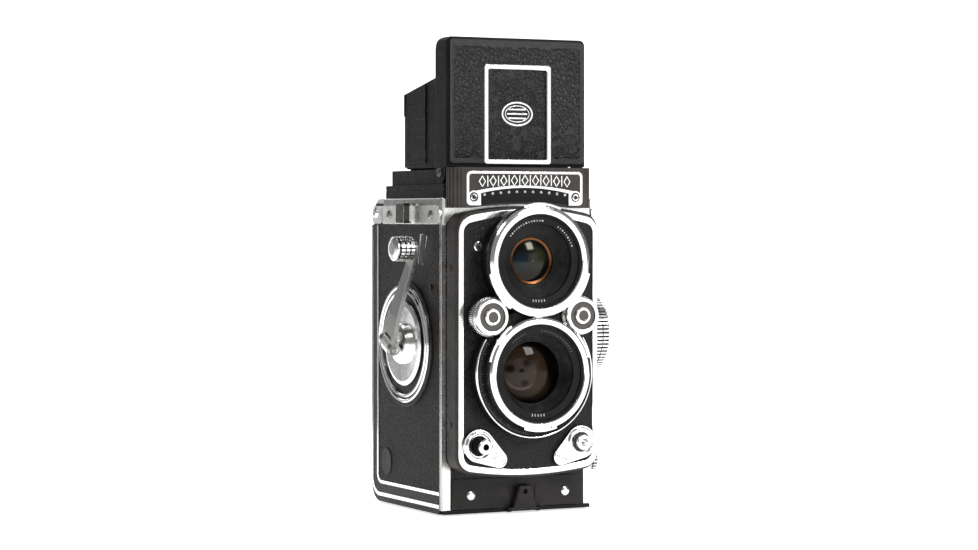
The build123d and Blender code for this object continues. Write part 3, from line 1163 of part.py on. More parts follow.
for name, (y, z) in {"supply_knob": SUPPLY, "take_up_knob": TAKE_UP}.items():
    with BuildPart() as spool_knob:
        turn_x([(31.0, 0), (31.0, 2.0), (KNOB_GAP + 0.1, 2.0), (KNOB_GAP + 0.1, 0)], y, z)
        turn_x([(KNOB_GAP, 0), (KNOB_GAP, 3.4), (41.2, 3.4), (41.2, 4.4), (49.4, 4.4), (50.0, 3.8),
                (50.2, 0)], y, z)
        for x0 in (41.6, 44.4, 47.2):
            with BuildSketch(side(x0)):
                teeth(20, 4.3, 4.9, 0.55, y, z)
            extrude(amount=2.0)
    spool_knob.part.label = name
    export_step(spool_knob.part, f"parts/{name}.step")

# ================================================================ focusing knob
with BuildPart() as focus_scale_plate:
    turn_x([(LEATHER_X, 3.4), (LEATHER_X, 13.8), (HALF_W + 0.05, 13.8), (HALF_W + 0.05, 19.6),
            (HALF_W + 0.6, 19.6),
            (HALF_W + 0.9, 19.2), (HALF_W + 0.9, 3.4)], FOCUS_Y, FOCUS_Z)
focus_scale_plate.part.label = "focus_scale_plate"
export_step(focus_scale_plate.part, "parts/focus_scale_plate.step")

with BuildPart() as focus_knob:
    rod_x(31, 40, FOCUS_Y, FOCUS_Z, 3.0)
    rod_x(34.6, 36.4, FOCUS_Y - 3, FOCUS_Z, 9.0)          # eccentric cam that moves the standard
    turn_x([(39.8, 0), (39.8, 15.8), (41.0, 16.4), (41.0, 17.0), (49.0, 17.0), (49.6, 16.4), (50.0, 14.0),
            (49.4, 12.5),
            (49.4, 0)], FOCUS_Y, FOCUS_Z)
    for x0 in (41.4, 45.4):
        with BuildSketch(side(x0)):
            teeth(64, 16.9, 18.1, 0.55, FOCUS_Y, FOCUS_Z)
            with Locations((FOCUS_Y, FOCUS_Z)):
                Circle(15.0, mode=Mode.SUBTRACT)
        extrude(amount=3.6)
focus_knob.part.label = "focus_knob"
export_step(focus_knob.part, "parts/focus_knob.step")
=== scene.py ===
"""Looks for the twin lens reflex camera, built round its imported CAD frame."""

import math

import bpy
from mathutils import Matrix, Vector


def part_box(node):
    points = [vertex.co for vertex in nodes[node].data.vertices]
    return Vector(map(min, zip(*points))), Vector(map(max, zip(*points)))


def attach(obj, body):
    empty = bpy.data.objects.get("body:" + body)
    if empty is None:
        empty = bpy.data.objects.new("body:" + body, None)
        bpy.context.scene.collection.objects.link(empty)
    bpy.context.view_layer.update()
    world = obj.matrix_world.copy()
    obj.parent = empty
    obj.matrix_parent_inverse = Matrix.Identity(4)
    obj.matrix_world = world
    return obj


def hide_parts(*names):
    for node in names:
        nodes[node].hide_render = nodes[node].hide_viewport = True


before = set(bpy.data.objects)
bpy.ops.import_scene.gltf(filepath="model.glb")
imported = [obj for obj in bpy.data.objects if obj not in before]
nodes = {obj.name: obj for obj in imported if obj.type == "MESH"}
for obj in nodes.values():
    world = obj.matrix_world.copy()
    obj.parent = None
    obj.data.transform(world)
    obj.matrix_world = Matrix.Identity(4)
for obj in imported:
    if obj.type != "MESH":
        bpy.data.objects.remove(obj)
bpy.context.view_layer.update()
MM = 0.001


def middle(node):
    """Middle of a CAD node's box in millimetres."""
    low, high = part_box(node)
    return tuple(round((a + b) / 2 / MM, 2) for a, b in zip(low, high))


def front(node):
    """The frontmost Y of a CAD node in millimetres."""
    return round(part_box(node)[0][1] / MM, 2)


def far_side(node):
    """The highest X of a CAD node in millimetres."""
    return round(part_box(node)[1][0] / MM, 2)


VIEW_Z = middle("viewing_lens")[2]
TAKE_Z = middle("taking_lens")[2]


# ------------------------------------------------------------------ material helpers
class Look:
    """A material with one Principled shader, built up by small steps."""

    def __init__(self, name, color=(0.5, 0.5, 0.5), metallic=0.0, rough=0.5, ior=1.5, specular=0.5):
        self.mat = bpy.data.materials.new(name)
        self.mat.use_nodes = True
        self.tree = self.mat.node_tree
        self.tree.nodes.clear()
        self.out = self.node("ShaderNodeOutputMaterial")
        self.bsdf = self.node("ShaderNodeBsdfPrincipled")
        self.bsdf.inputs["Base Color"].default_value = (*color, 1)
        self.bsdf.inputs["Metallic"].default_value = metallic
        self.bsdf.inputs["Roughness"].default_value = rough
        self.bsdf.inputs["IOR"].default_value = ior
        self.bsdf.inputs["Specular IOR Level"].default_value = specular
        self.link(self.bsdf.outputs["BSDF"], self.out.inputs["Surface"])
        self.place = self.node("ShaderNodeTexCoord").outputs["Object"]
        self.normal = None

    def node(self, kind, **settings):
        made = self.tree.nodes.new(kind)
        for key, value in settings.items():
            setattr(made, key, value)
        return made

    def link(self, a, b):
        self.tree.links.new(a, b)

    def math(self, operation, a, b=None, c=None, clamp=False):
        made = self.node("ShaderNodeMath", operation=operation, use_clamp=clamp)
        for socket, value in zip(made.inputs, (a, b, c)):
            if value is None:
                continue
            if isinstance(value, (int, float)):
                socket.default_value = value
            else:
                self.link(value, socket)
        return made.outputs[0]

    def mix(self, mask, a, b):
        """Colour a where the mask is 0 and b where it is 1."""
        made = self.node("ShaderNodeMix", data_type="RGBA")
        self.link(mask, made.inputs["Factor"])
        for socket, value in ((made.inputs["A"], a), (made.inputs["B"], b)):
            if isinstance(value, tuple):
                socket.default_value = (*value, 1)
            else:
                self.link(value, socket)
        return made.outputs["Result"]

    def ramp(self, value, stops, smooth=True):
        """Grey or colour ramp from (position, value) stops."""
        made = self.node("ShaderNodeValToRGB")
        made.color_ramp.interpolation = "EASE" if smooth else "CONSTANT"
        while len(made.color_ramp.elements) < len(stops):
            made.color_ramp.elements.new(0.5)
        for element, (at, shade) in zip(made.color_ramp.elements, stops):
            element.position = at
            element.color = (*shade, 1) if isinstance(shade, tuple) else (shade, shade, shade, 1)
        self.link(value, made.inputs["Fac"])
        return made.outputs["Color"]

    def noise(self, size, detail=3.0, rough=0.55, stretch=None):
        """Noise with features of this size in metres."""
        made = self.node("ShaderNodeTexNoise")
        made.inputs["Scale"].default_value = 1 / size
        made.inputs["Detail"].default_value = detail
        made.inputs["Roughness"].default_value = rough
        made.inputs["Distortion"].default_value = 0.0
        self.link(self.scaled(stretch) if stretch else self.place, made.inputs["Vector"])
        return made.outputs["Fac"]

    def scaled(self, stretch):
        made = self.node("ShaderNodeMapping")
        made.inputs["Scale"].default_value = stretch
        self.link(self.place, made.inputs["Vector"])
        return made.outputs["Vector"]

    def cells(self, size, feature, warp):
        """Voronoi cells of this size, with edges bent by noise."""
        made = self.node("ShaderNodeTexVoronoi", feature=feature)
        made.inputs["Scale"].default_value = 1 / size
        if feature == "SMOOTH_F1":
            made.inputs["Smoothness"].default_value = 0.6
        wobble = self.node("ShaderNodeTexNoise")
        wobble.inputs["Scale"].default_value = 0.55 / size
        self.link(self.place, wobble.inputs["Vector"])
        bent = self.node("ShaderNodeVectorMath", operation="MULTIPLY_ADD")
        self.link(wobble.outputs["Color"], bent.inputs[0])
        bent.inputs[1].default_value = (warp * size,) * 3
        self.link(self.place, bent.inputs[2])
        self.link(bent.outputs[0], made.inputs["Vector"])
        return made.outputs["Distance"]

    def bump(self, height, depth):
        """Relief of this depth in metres on top of what is there."""
        made = self.node("ShaderNodeBump")
        made.inputs["Strength"].default_value = 1.0
        made.inputs["Distance"].default_value = depth
        self.link(height, made.inputs["Height"])
        if self.normal is not None:
            self.link(self.normal, made.inputs["Normal"])
        self.normal = made.outputs["Normal"]
        self.link(self.normal, self.bsdf.inputs["Normal"])
        return self

    def soft_edges(self, radius):
        """Rounds the look of sharp edges."""
        made = self.node("ShaderNodeBevel", samples=4)
        made.inputs["Radius"].default_value = radius
        self.normal = made.outputs["Normal"]
        self.link(self.normal, self.bsdf.inputs["Normal"])
        return self

    def edge_mask(self, radius, sharp):
        """1 where the surface turns a corner within this distance."""
        bevel = self.node("ShaderNodeBevel", samples=4)
        bevel.inputs["Radius"].default_value = radius
        geometry = self.node("ShaderNodeNewGeometry")
        dot = self.node("ShaderNodeVectorMath", operation="DOT_PRODUCT")
        self.link(bevel.outputs["Normal"], dot.inputs[0])
        self.link(geometry.outputs["Normal"], dot.inputs[1])
        turned = self.math("SUBTRACT", 1.0, dot.outputs["Value"], clamp=True)
        return self.math("MULTIPLY", turned, sharp, clamp=True)

    def paint(self, color):
        self.link(color, self.bsdf.inputs["Base Color"])
        return self

    def roughen(self, value, low, high):
        """Roughness between low and high as the value goes from 0.3 to 0.7."""
        made = self.node("ShaderNodeMapRange")
        made.inputs["From Min"].default_value = 0.3
        made.inputs["From Max"].default_value = 0.7
        made.inputs["To Min"].default_value = low
        made.inputs["To Max"].default_value = high
        self.link(value, made.inputs["Value"])
        self.link(made.outputs["Result"], self.bsdf.inputs["Roughness"])
        return self

    def length(self, a, b):
        """Length of the vector (a, b)."""
        squares = self.math("ADD", self.math("MULTIPLY", a, a), self.math("MULTIPLY", b, b))
        return self.math("SQRT", squares)

    def radius(self, first, second, plane="XZ"):
        """Distance in metres from the line at right angles to this plane, given in millimetres."""
        split = self.node("ShaderNodeSeparateXYZ")
        self.link(self.place, split.inputs[0])
        a = self.math("SUBTRACT", split.outputs[plane[0]], first * MM)
        b = self.math("SUBTRACT", split.outputs[plane[1]], second * MM)
        return self.length(a, b)

    def axis(self, name):
        split = self.node("ShaderNodeSeparateXYZ")
        self.link(self.place, split.inputs[0])
        return split.outputs[name]


def chrome(name, shade=0.9, low=0.10, high=0.2):
    """Bright plated metal with faint wiping marks."""
    look = Look(name, (shade, shade, shade * 0.985), 1.0, (low + high) / 2)
    look.soft_edges(0.00018)
    wipe = look.noise(0.006, 5.0, 0.6)
    look.roughen(wipe, low, high)
    dull = look.noise(0.02, 3.0)
    patches = look.ramp(dull, ((0.35, 0.0), (0.7, 1.0)))
    look.paint(look.mix(patches, (shade,) * 3, (shade * 0.93,) * 3))
    look.bump(look.noise(0.0004, 2.0), 0.000004)
    return look.mat


def satin(name, shade=0.72, low=0.26, high=0.38, grain=(1, 1, 1), tint=(1, 0.99, 0.97), side=None):
    """Matt chrome or nickel with a fine blasted or brushed grain, lighter along the edges as rubbed metal and
    as a painted edge highlight.

    side is (distance from the middle in metres, colour of the side faces past it, painted darker as painted
    shade).
    """
    base = tuple(shade * t for t in tint)
    look = Look(name, base, 1.0, (low + high) / 2)
    look.soft_edges(0.0002)
    fine = look.noise(0.00035, 3.0, 0.6, stretch=grain)
    look.roughen(look.noise(0.004, 4.0, stretch=grain), low, high)
    worn = look.edge_mask(0.0004, 5.0)
    bright = tuple(min(1.0, c * 1.2) for c in base)
    speck = look.mix(look.ramp(fine, ((0.35, 0.0), (0.65, 1.0))), tuple(c * 0.9 for c in base), base)
    if side:
        # side faces past this distance get a darker colour: painted shade
        painted_dark_side = look.math("GREATER_THAN", look.math("ABSOLUTE", look.axis("X")), side[0])
        speck = look.mix(painted_dark_side, speck, tuple(side[1] * t for t in tint))
    # edges lighter: rubbed metal and painted edge highlight
    look.paint(look.mix(worn, speck, bright))
    look.bump(fine, 0.00001)
    return look.mat


def enamel(name, color, rough=0.36, specular=0.2, wear=0.4, grain=0.00002):
    """Black paint on metal, with rubbed edges."""
    metal = (0.25, 0.235, 0.21)
    look = Look(name, color, 0.0, rough, 1.5, specular)
    look.soft_edges(0.00025)
    patch = look.noise(0.004, 4.0, 0.65)
    edge = look.edge_mask(0.00035, 4.0)
    patchy = look.math("MULTIPLY", look.ramp(patch, ((0.45, 0.0), (0.62, 1.0))), wear)
    rubbed = look.math("MULTIPLY", edge, patchy)
    lighter = tuple(c * 1.7 + 0.002 for c in color)
    cloud = look.mix(look.ramp(look.noise(0.015, 3.0), ((0.35, 0.0), (0.7, 1.0))), color, lighter)
    look.paint(look.mix(rubbed, cloud, metal))
    look.roughen(look.noise(0.003, 4.0), rough - 0.06, rough + 0.1)
    look.bump(look.noise(0.0006, 3.0, 0.6), grain)
    return look.mat


def leather(name, cell, depth, dark, light, rough, specular, border=None):
    """Pebbled leather: warped cells with creases, finer wrinkles and pores, painted dark in the creases as
    leather colour and painted shade, and lighter on the raised tops as wear and painted highlight.

    border is (half width, low Z, high Z) in millimetres of the part inside a smooth border.
    """
    look = Look(name, dark, 0.0, rough, 1.5, specular)
    pebble = look.cells(cell, "SMOOTH_F1", 1.1)
    crease = look.cells(cell, "DISTANCE_TO_EDGE", 1.1)
    raised = look.math("SUBTRACT", 1.0, look.math("MULTIPLY", pebble, 1.3, clamp=True))
    gap = look.ramp(crease, ((0.0, 0.0), (0.16, 1.0)))
    small = look.noise(cell * 0.35, 4.0, 0.65)
    height = look.math("ADD", look.math("MULTIPLY", raised, gap), look.math("MULTIPLY", small, 0.35))
    if border:
        half_x, z_low, z_high = border
        side_room = look.math("SUBTRACT", half_x * MM, look.math("ABSOLUTE", look.axis("X")))
        low_room = look.math("SUBTRACT", look.axis("Z"), z_low * MM)
        high_room = look.math("SUBTRACT", z_high * MM, look.axis("Z"))
        room = look.math("MINIMUM", side_room, look.math("MINIMUM", low_room, high_room))
        rise = 900.0
        height = look.math("MULTIPLY", height, look.math("MULTIPLY", room, rise, clamp=True))
    look.bump(height, depth)
    look.bump(look.noise(cell * 0.09, 3.0, 0.7), depth * 0.08)
    worn = look.ramp(look.noise(cell * 14, 4.0, 0.6), ((0.42, 0.0), (0.75, 1.0)))
    # raised tops painted lighter where the wear pattern allows, as wear and painted highlight; the creases
    # keep the dark colour as painted shade
    lit_raised_tops = look.ramp(height, ((0.45, 0.0), (1.0, 1.0)))
    tops = look.math("MULTIPLY", lit_raised_tops, look.math("MULTIPLY_ADD", worn, 0.6, 0.4))
    look.paint(look.mix(tops, dark, light))
    look.roughen(small, rough - 0.08, rough + 0.14)
    return look.mat


def rings(look, radius, stops, outer):
    """Hard-edged rings about an axis, as (radius in mm, colour or grey value) from the centre out."""
    span = look.math("DIVIDE", radius, outer * MM)
    return look.ramp(span, [(r / outer, c) for r, c in stops], smooth=False)


# ------------------------------------------------------------------ mesh helpers
def add_mesh(name, verts, faces, mat, body):
    """New piece from vertices in millimetres."""
    mesh = bpy.data.meshes.new(name)
    mesh.from_pydata([Vector(v) * MM for v in verts], [], faces)
    mesh.validate()
    mesh.update()
    piece = bpy.data.objects.new(name, mesh)
    bpy.context.scene.collection.objects.link(piece)
    mesh.materials.append(mat)
    mesh.shade_smooth()
    mesh.set_sharp_from_angle(angle=math.radians(35))
    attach(piece, body)
    return piece


def lathe(name, profile, x, z, mat, body, steps=144, start=0.0, sweep=360.0):
    """Ring, or part of one, turned from closed (y, radius) points about an axis along Y."""
    whole = sweep >= 360
    rows = steps if whole else steps + 1
    verts, faces = [], []
    for i in range(rows):
        a = math.radians(start + sweep * i / steps)
        verts += [(x + r * math.cos(a), along, z + r * math.sin(a)) for along, r in profile]
    n = len(profile)
    for i in range(steps):
        j = (i + 1) % rows
        faces += [(i * n + k, i * n + (k + 1) % n, j * n + (k + 1) % n, j * n + k) for k in range(n)]
    if not whole:
        faces += [tuple(range(n))[::-1], tuple(range(steps * n, steps * n + n))]
    return add_mesh(name, verts, faces, mat, body)


def slab(outline, y_back, y_front, top_inset=0.0):
    """Vertices and faces of a raised plate in the XZ plane, its front face pulled in by top_inset."""
    n = len(outline)
    cx = sum(p[0] for p in outline) / n
    cz = sum(p[1] for p in outline) / n
    verts = [(x, y_back, z) for x, z in outline]
    for x, z in outline:
        d = math.hypot(x - cx, z - cz) or 1
        k = 1 - top_inset / d
        verts.append((cx + (x - cx) * k, y_front, cz + (z - cz) * k))
    faces = [tuple(range(n)), tuple(range(2 * n - 1, n - 1, -1))]
    faces += [(i, n + i, n + (i + 1) % n, (i + 1) % n) for i in range(n)]
    return verts, faces


def gather(shapes):
    """Joins several (verts, faces) lists."""
    verts, faces = [], []
    for v, f in shapes:
        base = len(verts)
        verts += v
        faces += [tuple(base + i for i in face) for face in f]
    return verts, faces


def strokes(x, z, marks, y_back, y_front):
    """Short radial or slanted strokes round a centre: (angle, inner radius, outer radius, width)."""
    shapes = []
    for angle, r0, r1, width in marks:
        a = math.radians(angle)
        out = Vector((math.cos(a), math.sin(a)))
        side = Vector((-out.y, out.x)) * width / 2
        corners = [out * r0 - side, out * r1 - side, out * r1 + side, out * r0 + side]
        shapes.append(slab([(x + c.x, z + c.y) for c in corners], y_back, y_front, 0.03))
    return gather(shapes)


def arc_points(x, z, r, start, stop, n):
    """Points of an arc from one angle to another."""
    return [(x + r * math.cos(math.radians(start + (stop - start) * i / n)),
             z + r * math.sin(math.radians(start + (stop - start) * i / n))) for i in range(n + 1)]


# ------------------------------------------------------------------ materials on the CAD nodes
bright = chrome("bright_chrome")
lens_chrome = chrome("lens_chrome", 0.92, 0.08, 0.16)
FRAME_SIDE = 38.0 * MM
STRAP_PLATE_SIDE = 40.8 * MM
# the top frame's and the strap lugs' side faces are painted darker past these distances, as painted shade
satin_body = satin("satin_top_frame", 0.86, 0.20, 0.30, side=(FRAME_SIDE, 0.42))
satin_strap = satin("satin_strap_plate", 0.90, 0.22, 0.34, side=(STRAP_PLATE_SIDE, 0.10))
brushed_arm = satin("brushed_crank_arm", 0.42, 0.24, 0.36, grain=(1, 4, 0.3))
pivot_steel = satin("pivot_steel", 0.10, 0.3, 0.45)
steel = satin("plain_steel", 0.5, 0.2, 0.35)
brass = satin("gear_brass", 0.6, 0.22, 0.34, tint=(1, 0.78, 0.42))
black = enamel("black_enamel", (0.0045, 0.0042, 0.004), rough=0.34, specular=0.14)
hood_black = enamel("hood_enamel", (0.0038, 0.0036, 0.0034), 0.42, 0.10)
housing_black = enamel("housing_enamel", (0.022, 0.0195, 0.018), 0.42, 0.22, 0.25)
apron_black = enamel("apron_enamel", (0.012, 0.0108, 0.0102), 0.40, 0.2, 0.3)
cast_black = enamel("casting_black", (0.006, 0.006, 0.006), 0.75, 0.1, 0.1, 0.00006)
anodised = enamel("anodised_black", (0.0035, 0.0035, 0.0037), 0.42, 0.16, 0.12)
nameplate_grey = enamel("nameplate_grey", (0.034, 0.029, 0.027), 0.5, 0.25, 0.2, 0.00004)
# hides: cell size, relief, colour in the creases (leather colour and painted shade) and on the tops (wear and
# painted highlight), roughness, specular
side_hide = leather("side_leather", 0.00105, 0.00026, (0.0022, 0.0016, 0.0013), (0.060, 0.042, 0.034),
                    0.46, 0.14)
LID_CELL, LID_RELIEF = 0.0019, 0.0011
LID_BASE_AND_CREASE_SHADE, LID_WORN_AND_LIT_TOP = (0.0035, 0.0033, 0.0031), (0.050, 0.046, 0.043)
LID_BORDER = (32.6, 161.6, 212.6)
lid_hide = leather("lid_leather", LID_CELL, LID_RELIEF, LID_BASE_AND_CREASE_SHADE, LID_WORN_AND_LIT_TOP, 0.32, 0.5, border=LID_BORDER)
flap_hide = leather("flap_leather", LID_CELL, LID_RELIEF, LID_BASE_AND_CREASE_SHADE, LID_WORN_AND_LIT_TOP, 0.32, 0.5)
front_hide = leather("front_leather", 0.0013, 0.00020, (0.0065, 0.0056, 0.0054), (0.026, 0.021, 0.020),
                     0.42, 0.24)
back_hide = leather("back_leather", 0.0011, 0.00018, (0.009, 0.0072, 0.0064), (0.04, 0.033, 0.029),
                    0.44, 0.28)
spool_plastic = enamel("spool_plastic", (0.02, 0.02, 0.021), 0.45, 0.45, 0.0)

# screw heads: bright on the front, blackened on the strap plates
screw = Look("screw_steel", (0.5, 0.5, 0.5), 1.0, 0.2)
screw.soft_edges(0.00015)
on_side = screw.math("GREATER_THAN", screw.math("ABSOLUTE", screw.axis("X")), FRAME_SIDE)
blackened = screw.mix(screw.noise(0.0009, 3.0), (0.05, 0.05, 0.05), (0.45, 0.44, 0.42))
screw.paint(screw.mix(on_side, (0.85, 0.85, 0.84), blackened))
screw.roughen(screw.noise(0.0008, 3.0), 0.14, 0.3)

window = Look("meter_window", (0.003, 0.003, 0.0035), 0.0, 0.12, 1.5, 0.2)
window.roughen(window.noise(0.003, 3.0), 0.08, 0.16)
window.bump(window.noise(0.0012, 2.0), 0.000005)

screen = Look("ground_screen", (0.62, 0.66, 0.62), 0.0, 0.5, 1.5, 0.5)
GRID_HALF_PITCH, GRID_LINE = 7.0 * MM, 0.12 * MM
screen_x = screen.math("PINGPONG", screen.axis("X"), GRID_HALF_PITCH)
screen_y = screen.math("PINGPONG", screen.axis("Y"), GRID_HALF_PITCH)
grid = screen.math("LESS_THAN", screen.math("MINIMUM", screen_x, screen_y), GRID_LINE)
ground = screen.mix(screen.noise(0.0003, 2.0), (0.50, 0.54, 0.50), (0.72, 0.75, 0.71))
screen.paint(screen.mix(grid, ground, (0.08, 0.08, 0.08)))
screen.bump(screen.noise(0.00015, 2.0), 0.00001)

silvered = Look("silvered_mirror", (0.88, 0.9, 0.9), 1.0, 0.03)
silvered.roughen(silvered.noise(0.01, 3.0), 0.02, 0.06)
silvered.paint(silvered.mix(silvered.noise(0.02, 2.0), (0.86, 0.88, 0.88), (0.92, 0.93, 0.93)))

scale_white = Look("scale_plate", (0.6, 0.59, 0.56), 0.7, 0.34)
scale_white.soft_edges(0.0002)
scale_white.roughen(scale_white.noise(0.002, 4.0), 0.28, 0.42)
scale_white.paint(scale_white.mix(scale_white.noise(0.01, 3.0), (0.56, 0.55, 0.52), (0.66, 0.65, 0.62)))

ink = Look("engraving_white", (0.62, 0.58, 0.54), 0.0, 0.5)
ink.paint(ink.mix(ink.noise(0.0008, 3.0), (0.34, 0.31, 0.29), (0.72, 0.68, 0.64)))
faint_ink = Look("worn_marks", (0.10, 0.09, 0.085), 0.0, 0.5)
faint_ink.paint(faint_ink.mix(faint_ink.noise(0.0008, 3.0), (0.05, 0.045, 0.042), (0.2, 0.18, 0.17)))
dark_ink = Look("engraving_black", (0.01, 0.01, 0.01), 0.0, 0.5)
dark_ink.paint(dark_ink.mix(dark_ink.noise(0.001, 3.0), (0.008, 0.008, 0.008), (0.03, 0.03, 0.03)))


def ribbed_look(name, y, z, deep):
    """Aluminium knob turned about X whose grooves, below this radius in millimetres, are painted near black
    as painted shade.
    """
    shade = 0.80
    look = Look(name, (shade, shade, shade), 1.0, 0.2)
    look.soft_edges(0.00015)
    r = look.radius(y, z, "YZ")
    face = look.node("ShaderNodeNewGeometry")
    turned = look.node("ShaderNodeSeparateXYZ")
    look.link(face.outputs["Normal"], turned.inputs[0])
    on_rim = look.math("LESS_THAN", look.math("ABSOLUTE", turned.outputs["X"]), 0.5)
    # painted shade in the grooves of the rim
    groove_shade = look.math("MULTIPLY", on_rim, look.math("LESS_THAN", r, deep * MM))
    metal = look.mix(look.noise(0.0006, 3.0), (shade * 0.86,) * 3, (shade, shade, shade * 0.98))
    look.paint(look.mix(groove_shade, metal, (0.03, 0.028, 0.026)))
    look.roughen(look.noise(0.002, 4.0), 0.14, 0.28)
    look.bump(look.noise(0.0003, 2.0), 0.000006)
    return look.mat


def wheel_look(name, x, z):
    """Chrome wheel with a dark middle and two dark enamelled rings."""
    look = Look(name, (0.9, 0.9, 0.89), 1.0, 0.18)
    look.soft_edges(0.00015)
    r = look.radius(x, z)
    grey = (0.05, 0.045, 0.04)
    shiny = (0.92, 0.92, 0.91)
    edges = (0, 2.35, 3.9, 6.3, 8.35, 8.7)
    outer = 10
    base = rings(look, r, tuple(zip(edges, (grey, shiny) * 3)), outer)
    dark = look.math("SUBTRACT", 1.0, rings(look, r, tuple(zip(edges, (0.0, 1.0) * 3)), outer))
    look.paint(look.mix(look.noise(0.002, 3.0), base, look.mix(dark, base, (0.075, 0.067, 0.06))))
    look.link(look.math("SUBTRACT", 1.0, dark), look.bsdf.inputs["Metallic"])
    look.roughen(look.noise(0.002, 4.0), 0.14, 0.28)
    look.bump(look.noise(0.0003, 2.0), 0.000006)
    return look.mat


def crank_disc_look():
    """Polished disc with turned rings."""
    look = Look("crank_disc_chrome", (0.85, 0.85, 0.84), 1.0, 0.16)
    look.soft_edges(0.0002)
    _, y, z = middle("crank_hub")
    radians_per_metre = 9000.0
    turned = look.math("SINE", look.math("MULTIPLY", look.radius(y, z, "YZ"), radians_per_metre))
    look.bump(turned, 0.000004)
    look.roughen(look.noise(0.003, 4.0), 0.12, 0.26)
    look.paint(look.mix(look.noise(0.01, 3.0), (0.82, 0.82, 0.81), (0.92, 0.92, 0.91)))
    return look.mat


assigned = {
    "body_casting": cast_black, "body_trims": satin_body, "front_plate": apron_black,
    "side_covers": black, "side_leather": side_hide, "strap_lugs": satin_strap,
    "slotted_screws": screw.mat, "door_hinge_pins": bright, "lid_pivot_pins": pivot_steel,
    "nameplate_block": nameplate_grey, "nameplate_trim": bright, "meter_window": window.mat,
    "hood_base": hood_black, "focusing_screen": screen.mat, "mirror": silvered.mat,
    "film_gate": cast_black, "crank_plate": black, "crank_trims": bright,
    "focus_scale_plate": scale_white.mat, "hood_lid": hood_black, "lid_leather": lid_hide,
    "lid_window_frame": bright, "sports_flap": flap_hide, "magnifier_frame": hood_black,
    "side_flap_left": hood_black, "side_flap_right": hood_black, "back_flap": hood_black,
    "lower_roller": steel, "upper_roller": steel, "back_door": black, "tripod_bush": satin_body,
    "back_leather": back_hide, "back_trims": bright, "back_latch": apron_black, "pressure_plate": black,
    "standard_housing": housing_black, "standard_leather": front_hide, "standard_trim": bright,
    "lens_barrels": anodised, "lens_bezels": lens_chrome, "shutter_unit": steel, "scale_ring": anodised,
    "release_lock": bright, "sync_lock": bright, "release_button": anodised, "sync_socket": bright,
    "crank_hub": crank_disc_look(), "crank_arm": brushed_arm, "idler_gear": brass,
    "supply_spool": spool_plastic, "take_up_spool": spool_plastic,
}


def dress(node, mat):
    """Gives a CAD node one material."""
    mesh = nodes[node].data
    mesh.materials.clear()
    mesh.materials.append(mat)


for node, mat in assigned.items():
    dress(node, mat)
for wheel in ("aperture_wheel", "shutter_wheel"):
    wheel_x, _, wheel_z = middle(wheel)
    dress(wheel, wheel_look(wheel + "_look", wheel_x, wheel_z))
# radius under which each knob's grooves get painted shade
GROOVE_RADII = (("crank_knob", 5.35), ("supply_knob", 4.6), ("focus_knob", 17.4), ("take_up_knob", 4.6))
for knob, groove_r in GROOVE_RADII:
    _, knob_y, knob_z = middle(knob)
    dress(knob, ribbed_look(knob + "_look", knob_y, knob_z, groove_r))


# ------------------------------------------------------------------ lenses
class Glass(Look):
    """Dark coated glass, with painted reflections in the coating's tints and the parts that show through it
    painted as colour.
    """

    def __init__(self, name, cz, base, specular=0.12):
        super().__init__(name, base, 0.0, 0.05, 1.45, specular)
        self.cz = cz
        self.shade = base
        self.roughen(self.noise(0.004, 2.0), 0.03, 0.06)

    def offset(self, x, z, stretch=1.0):
        """X, Z and distance in millimetres from a point given from the lens axis, with X stretched."""
        dx = self.math("MULTIPLY", self.math("SUBTRACT", self.axis("X"), x * MM), 1000 * stretch)
        dz = self.math("MULTIPLY", self.math("SUBTRACT", self.axis("Z"), (self.cz + z) * MM), 1000)
        return dx, dz, self.length(dx, dz)

    def lay(self, mask, color):
        """Covers what is there with this colour where the mask is 1."""
        self.shade = self.mix(mask, self.shade, color)
        self.paint(self.shade)
        return self

    def patch(self, x, z, size, stretch, color, core=0.25):
        """Soft round patch of colour."""
        _, _, r = self.offset(x, z, stretch)
        return self.lay(self.ramp(self.math("DIVIDE", r, size), ((core, 1.0), (1.0, 0.0))), color)

    def highlight_crescent(self, x, z, size, width, angle, color):
        """Painted highlight on the edge of a ring inside the lens, strongest towards this angle."""
        dx, dz, r = self.offset(x, z)
        away = self.math("ABSOLUTE", self.math("SUBTRACT", r, size))
        near = self.math("SUBTRACT", 1.0, self.math("DIVIDE", away, width), clamp=True)
        a = math.radians(angle)
        along_x = self.math("MULTIPLY", dx, math.cos(a) / size)
        along_z = self.math("MULTIPLY", dz, math.sin(a) / size)
        along = self.math("ADD", along_x, along_z)
        facing = self.math("MULTIPLY_ADD", along, 2.2, -0.9, clamp=True)
        return self.lay(self.math("MULTIPLY", near, facing), color)


view_glass = Glass("viewing_glass", VIEW_Z, (0.0025, 0.0025, 0.003), 0.28)
view_glass.bsdf.inputs["Specular Tint"].default_value = (1.0, 0.93, 0.76, 1)
view_glass.roughen(view_glass.noise(0.004, 2.0), 0.09, 0.13)
# painted reflections in the coating's tints: blue at the left, olive at the right, grey low in the middle
for x, z, size, tint in ((-4.5, -0.5, 6.5, (0.005, 0.012, 0.019)), (3.2, 1.5, 6.5, (0.016, 0.019, 0.008)),
                         (0.4, -2.0, 4.5, (0.009, 0.010, 0.010))):
    view_glass.patch(x, z, size, 1.0, tint)
take_glass = Glass("taking_glass", TAKE_Z, (0.0012, 0.0011, 0.0011))
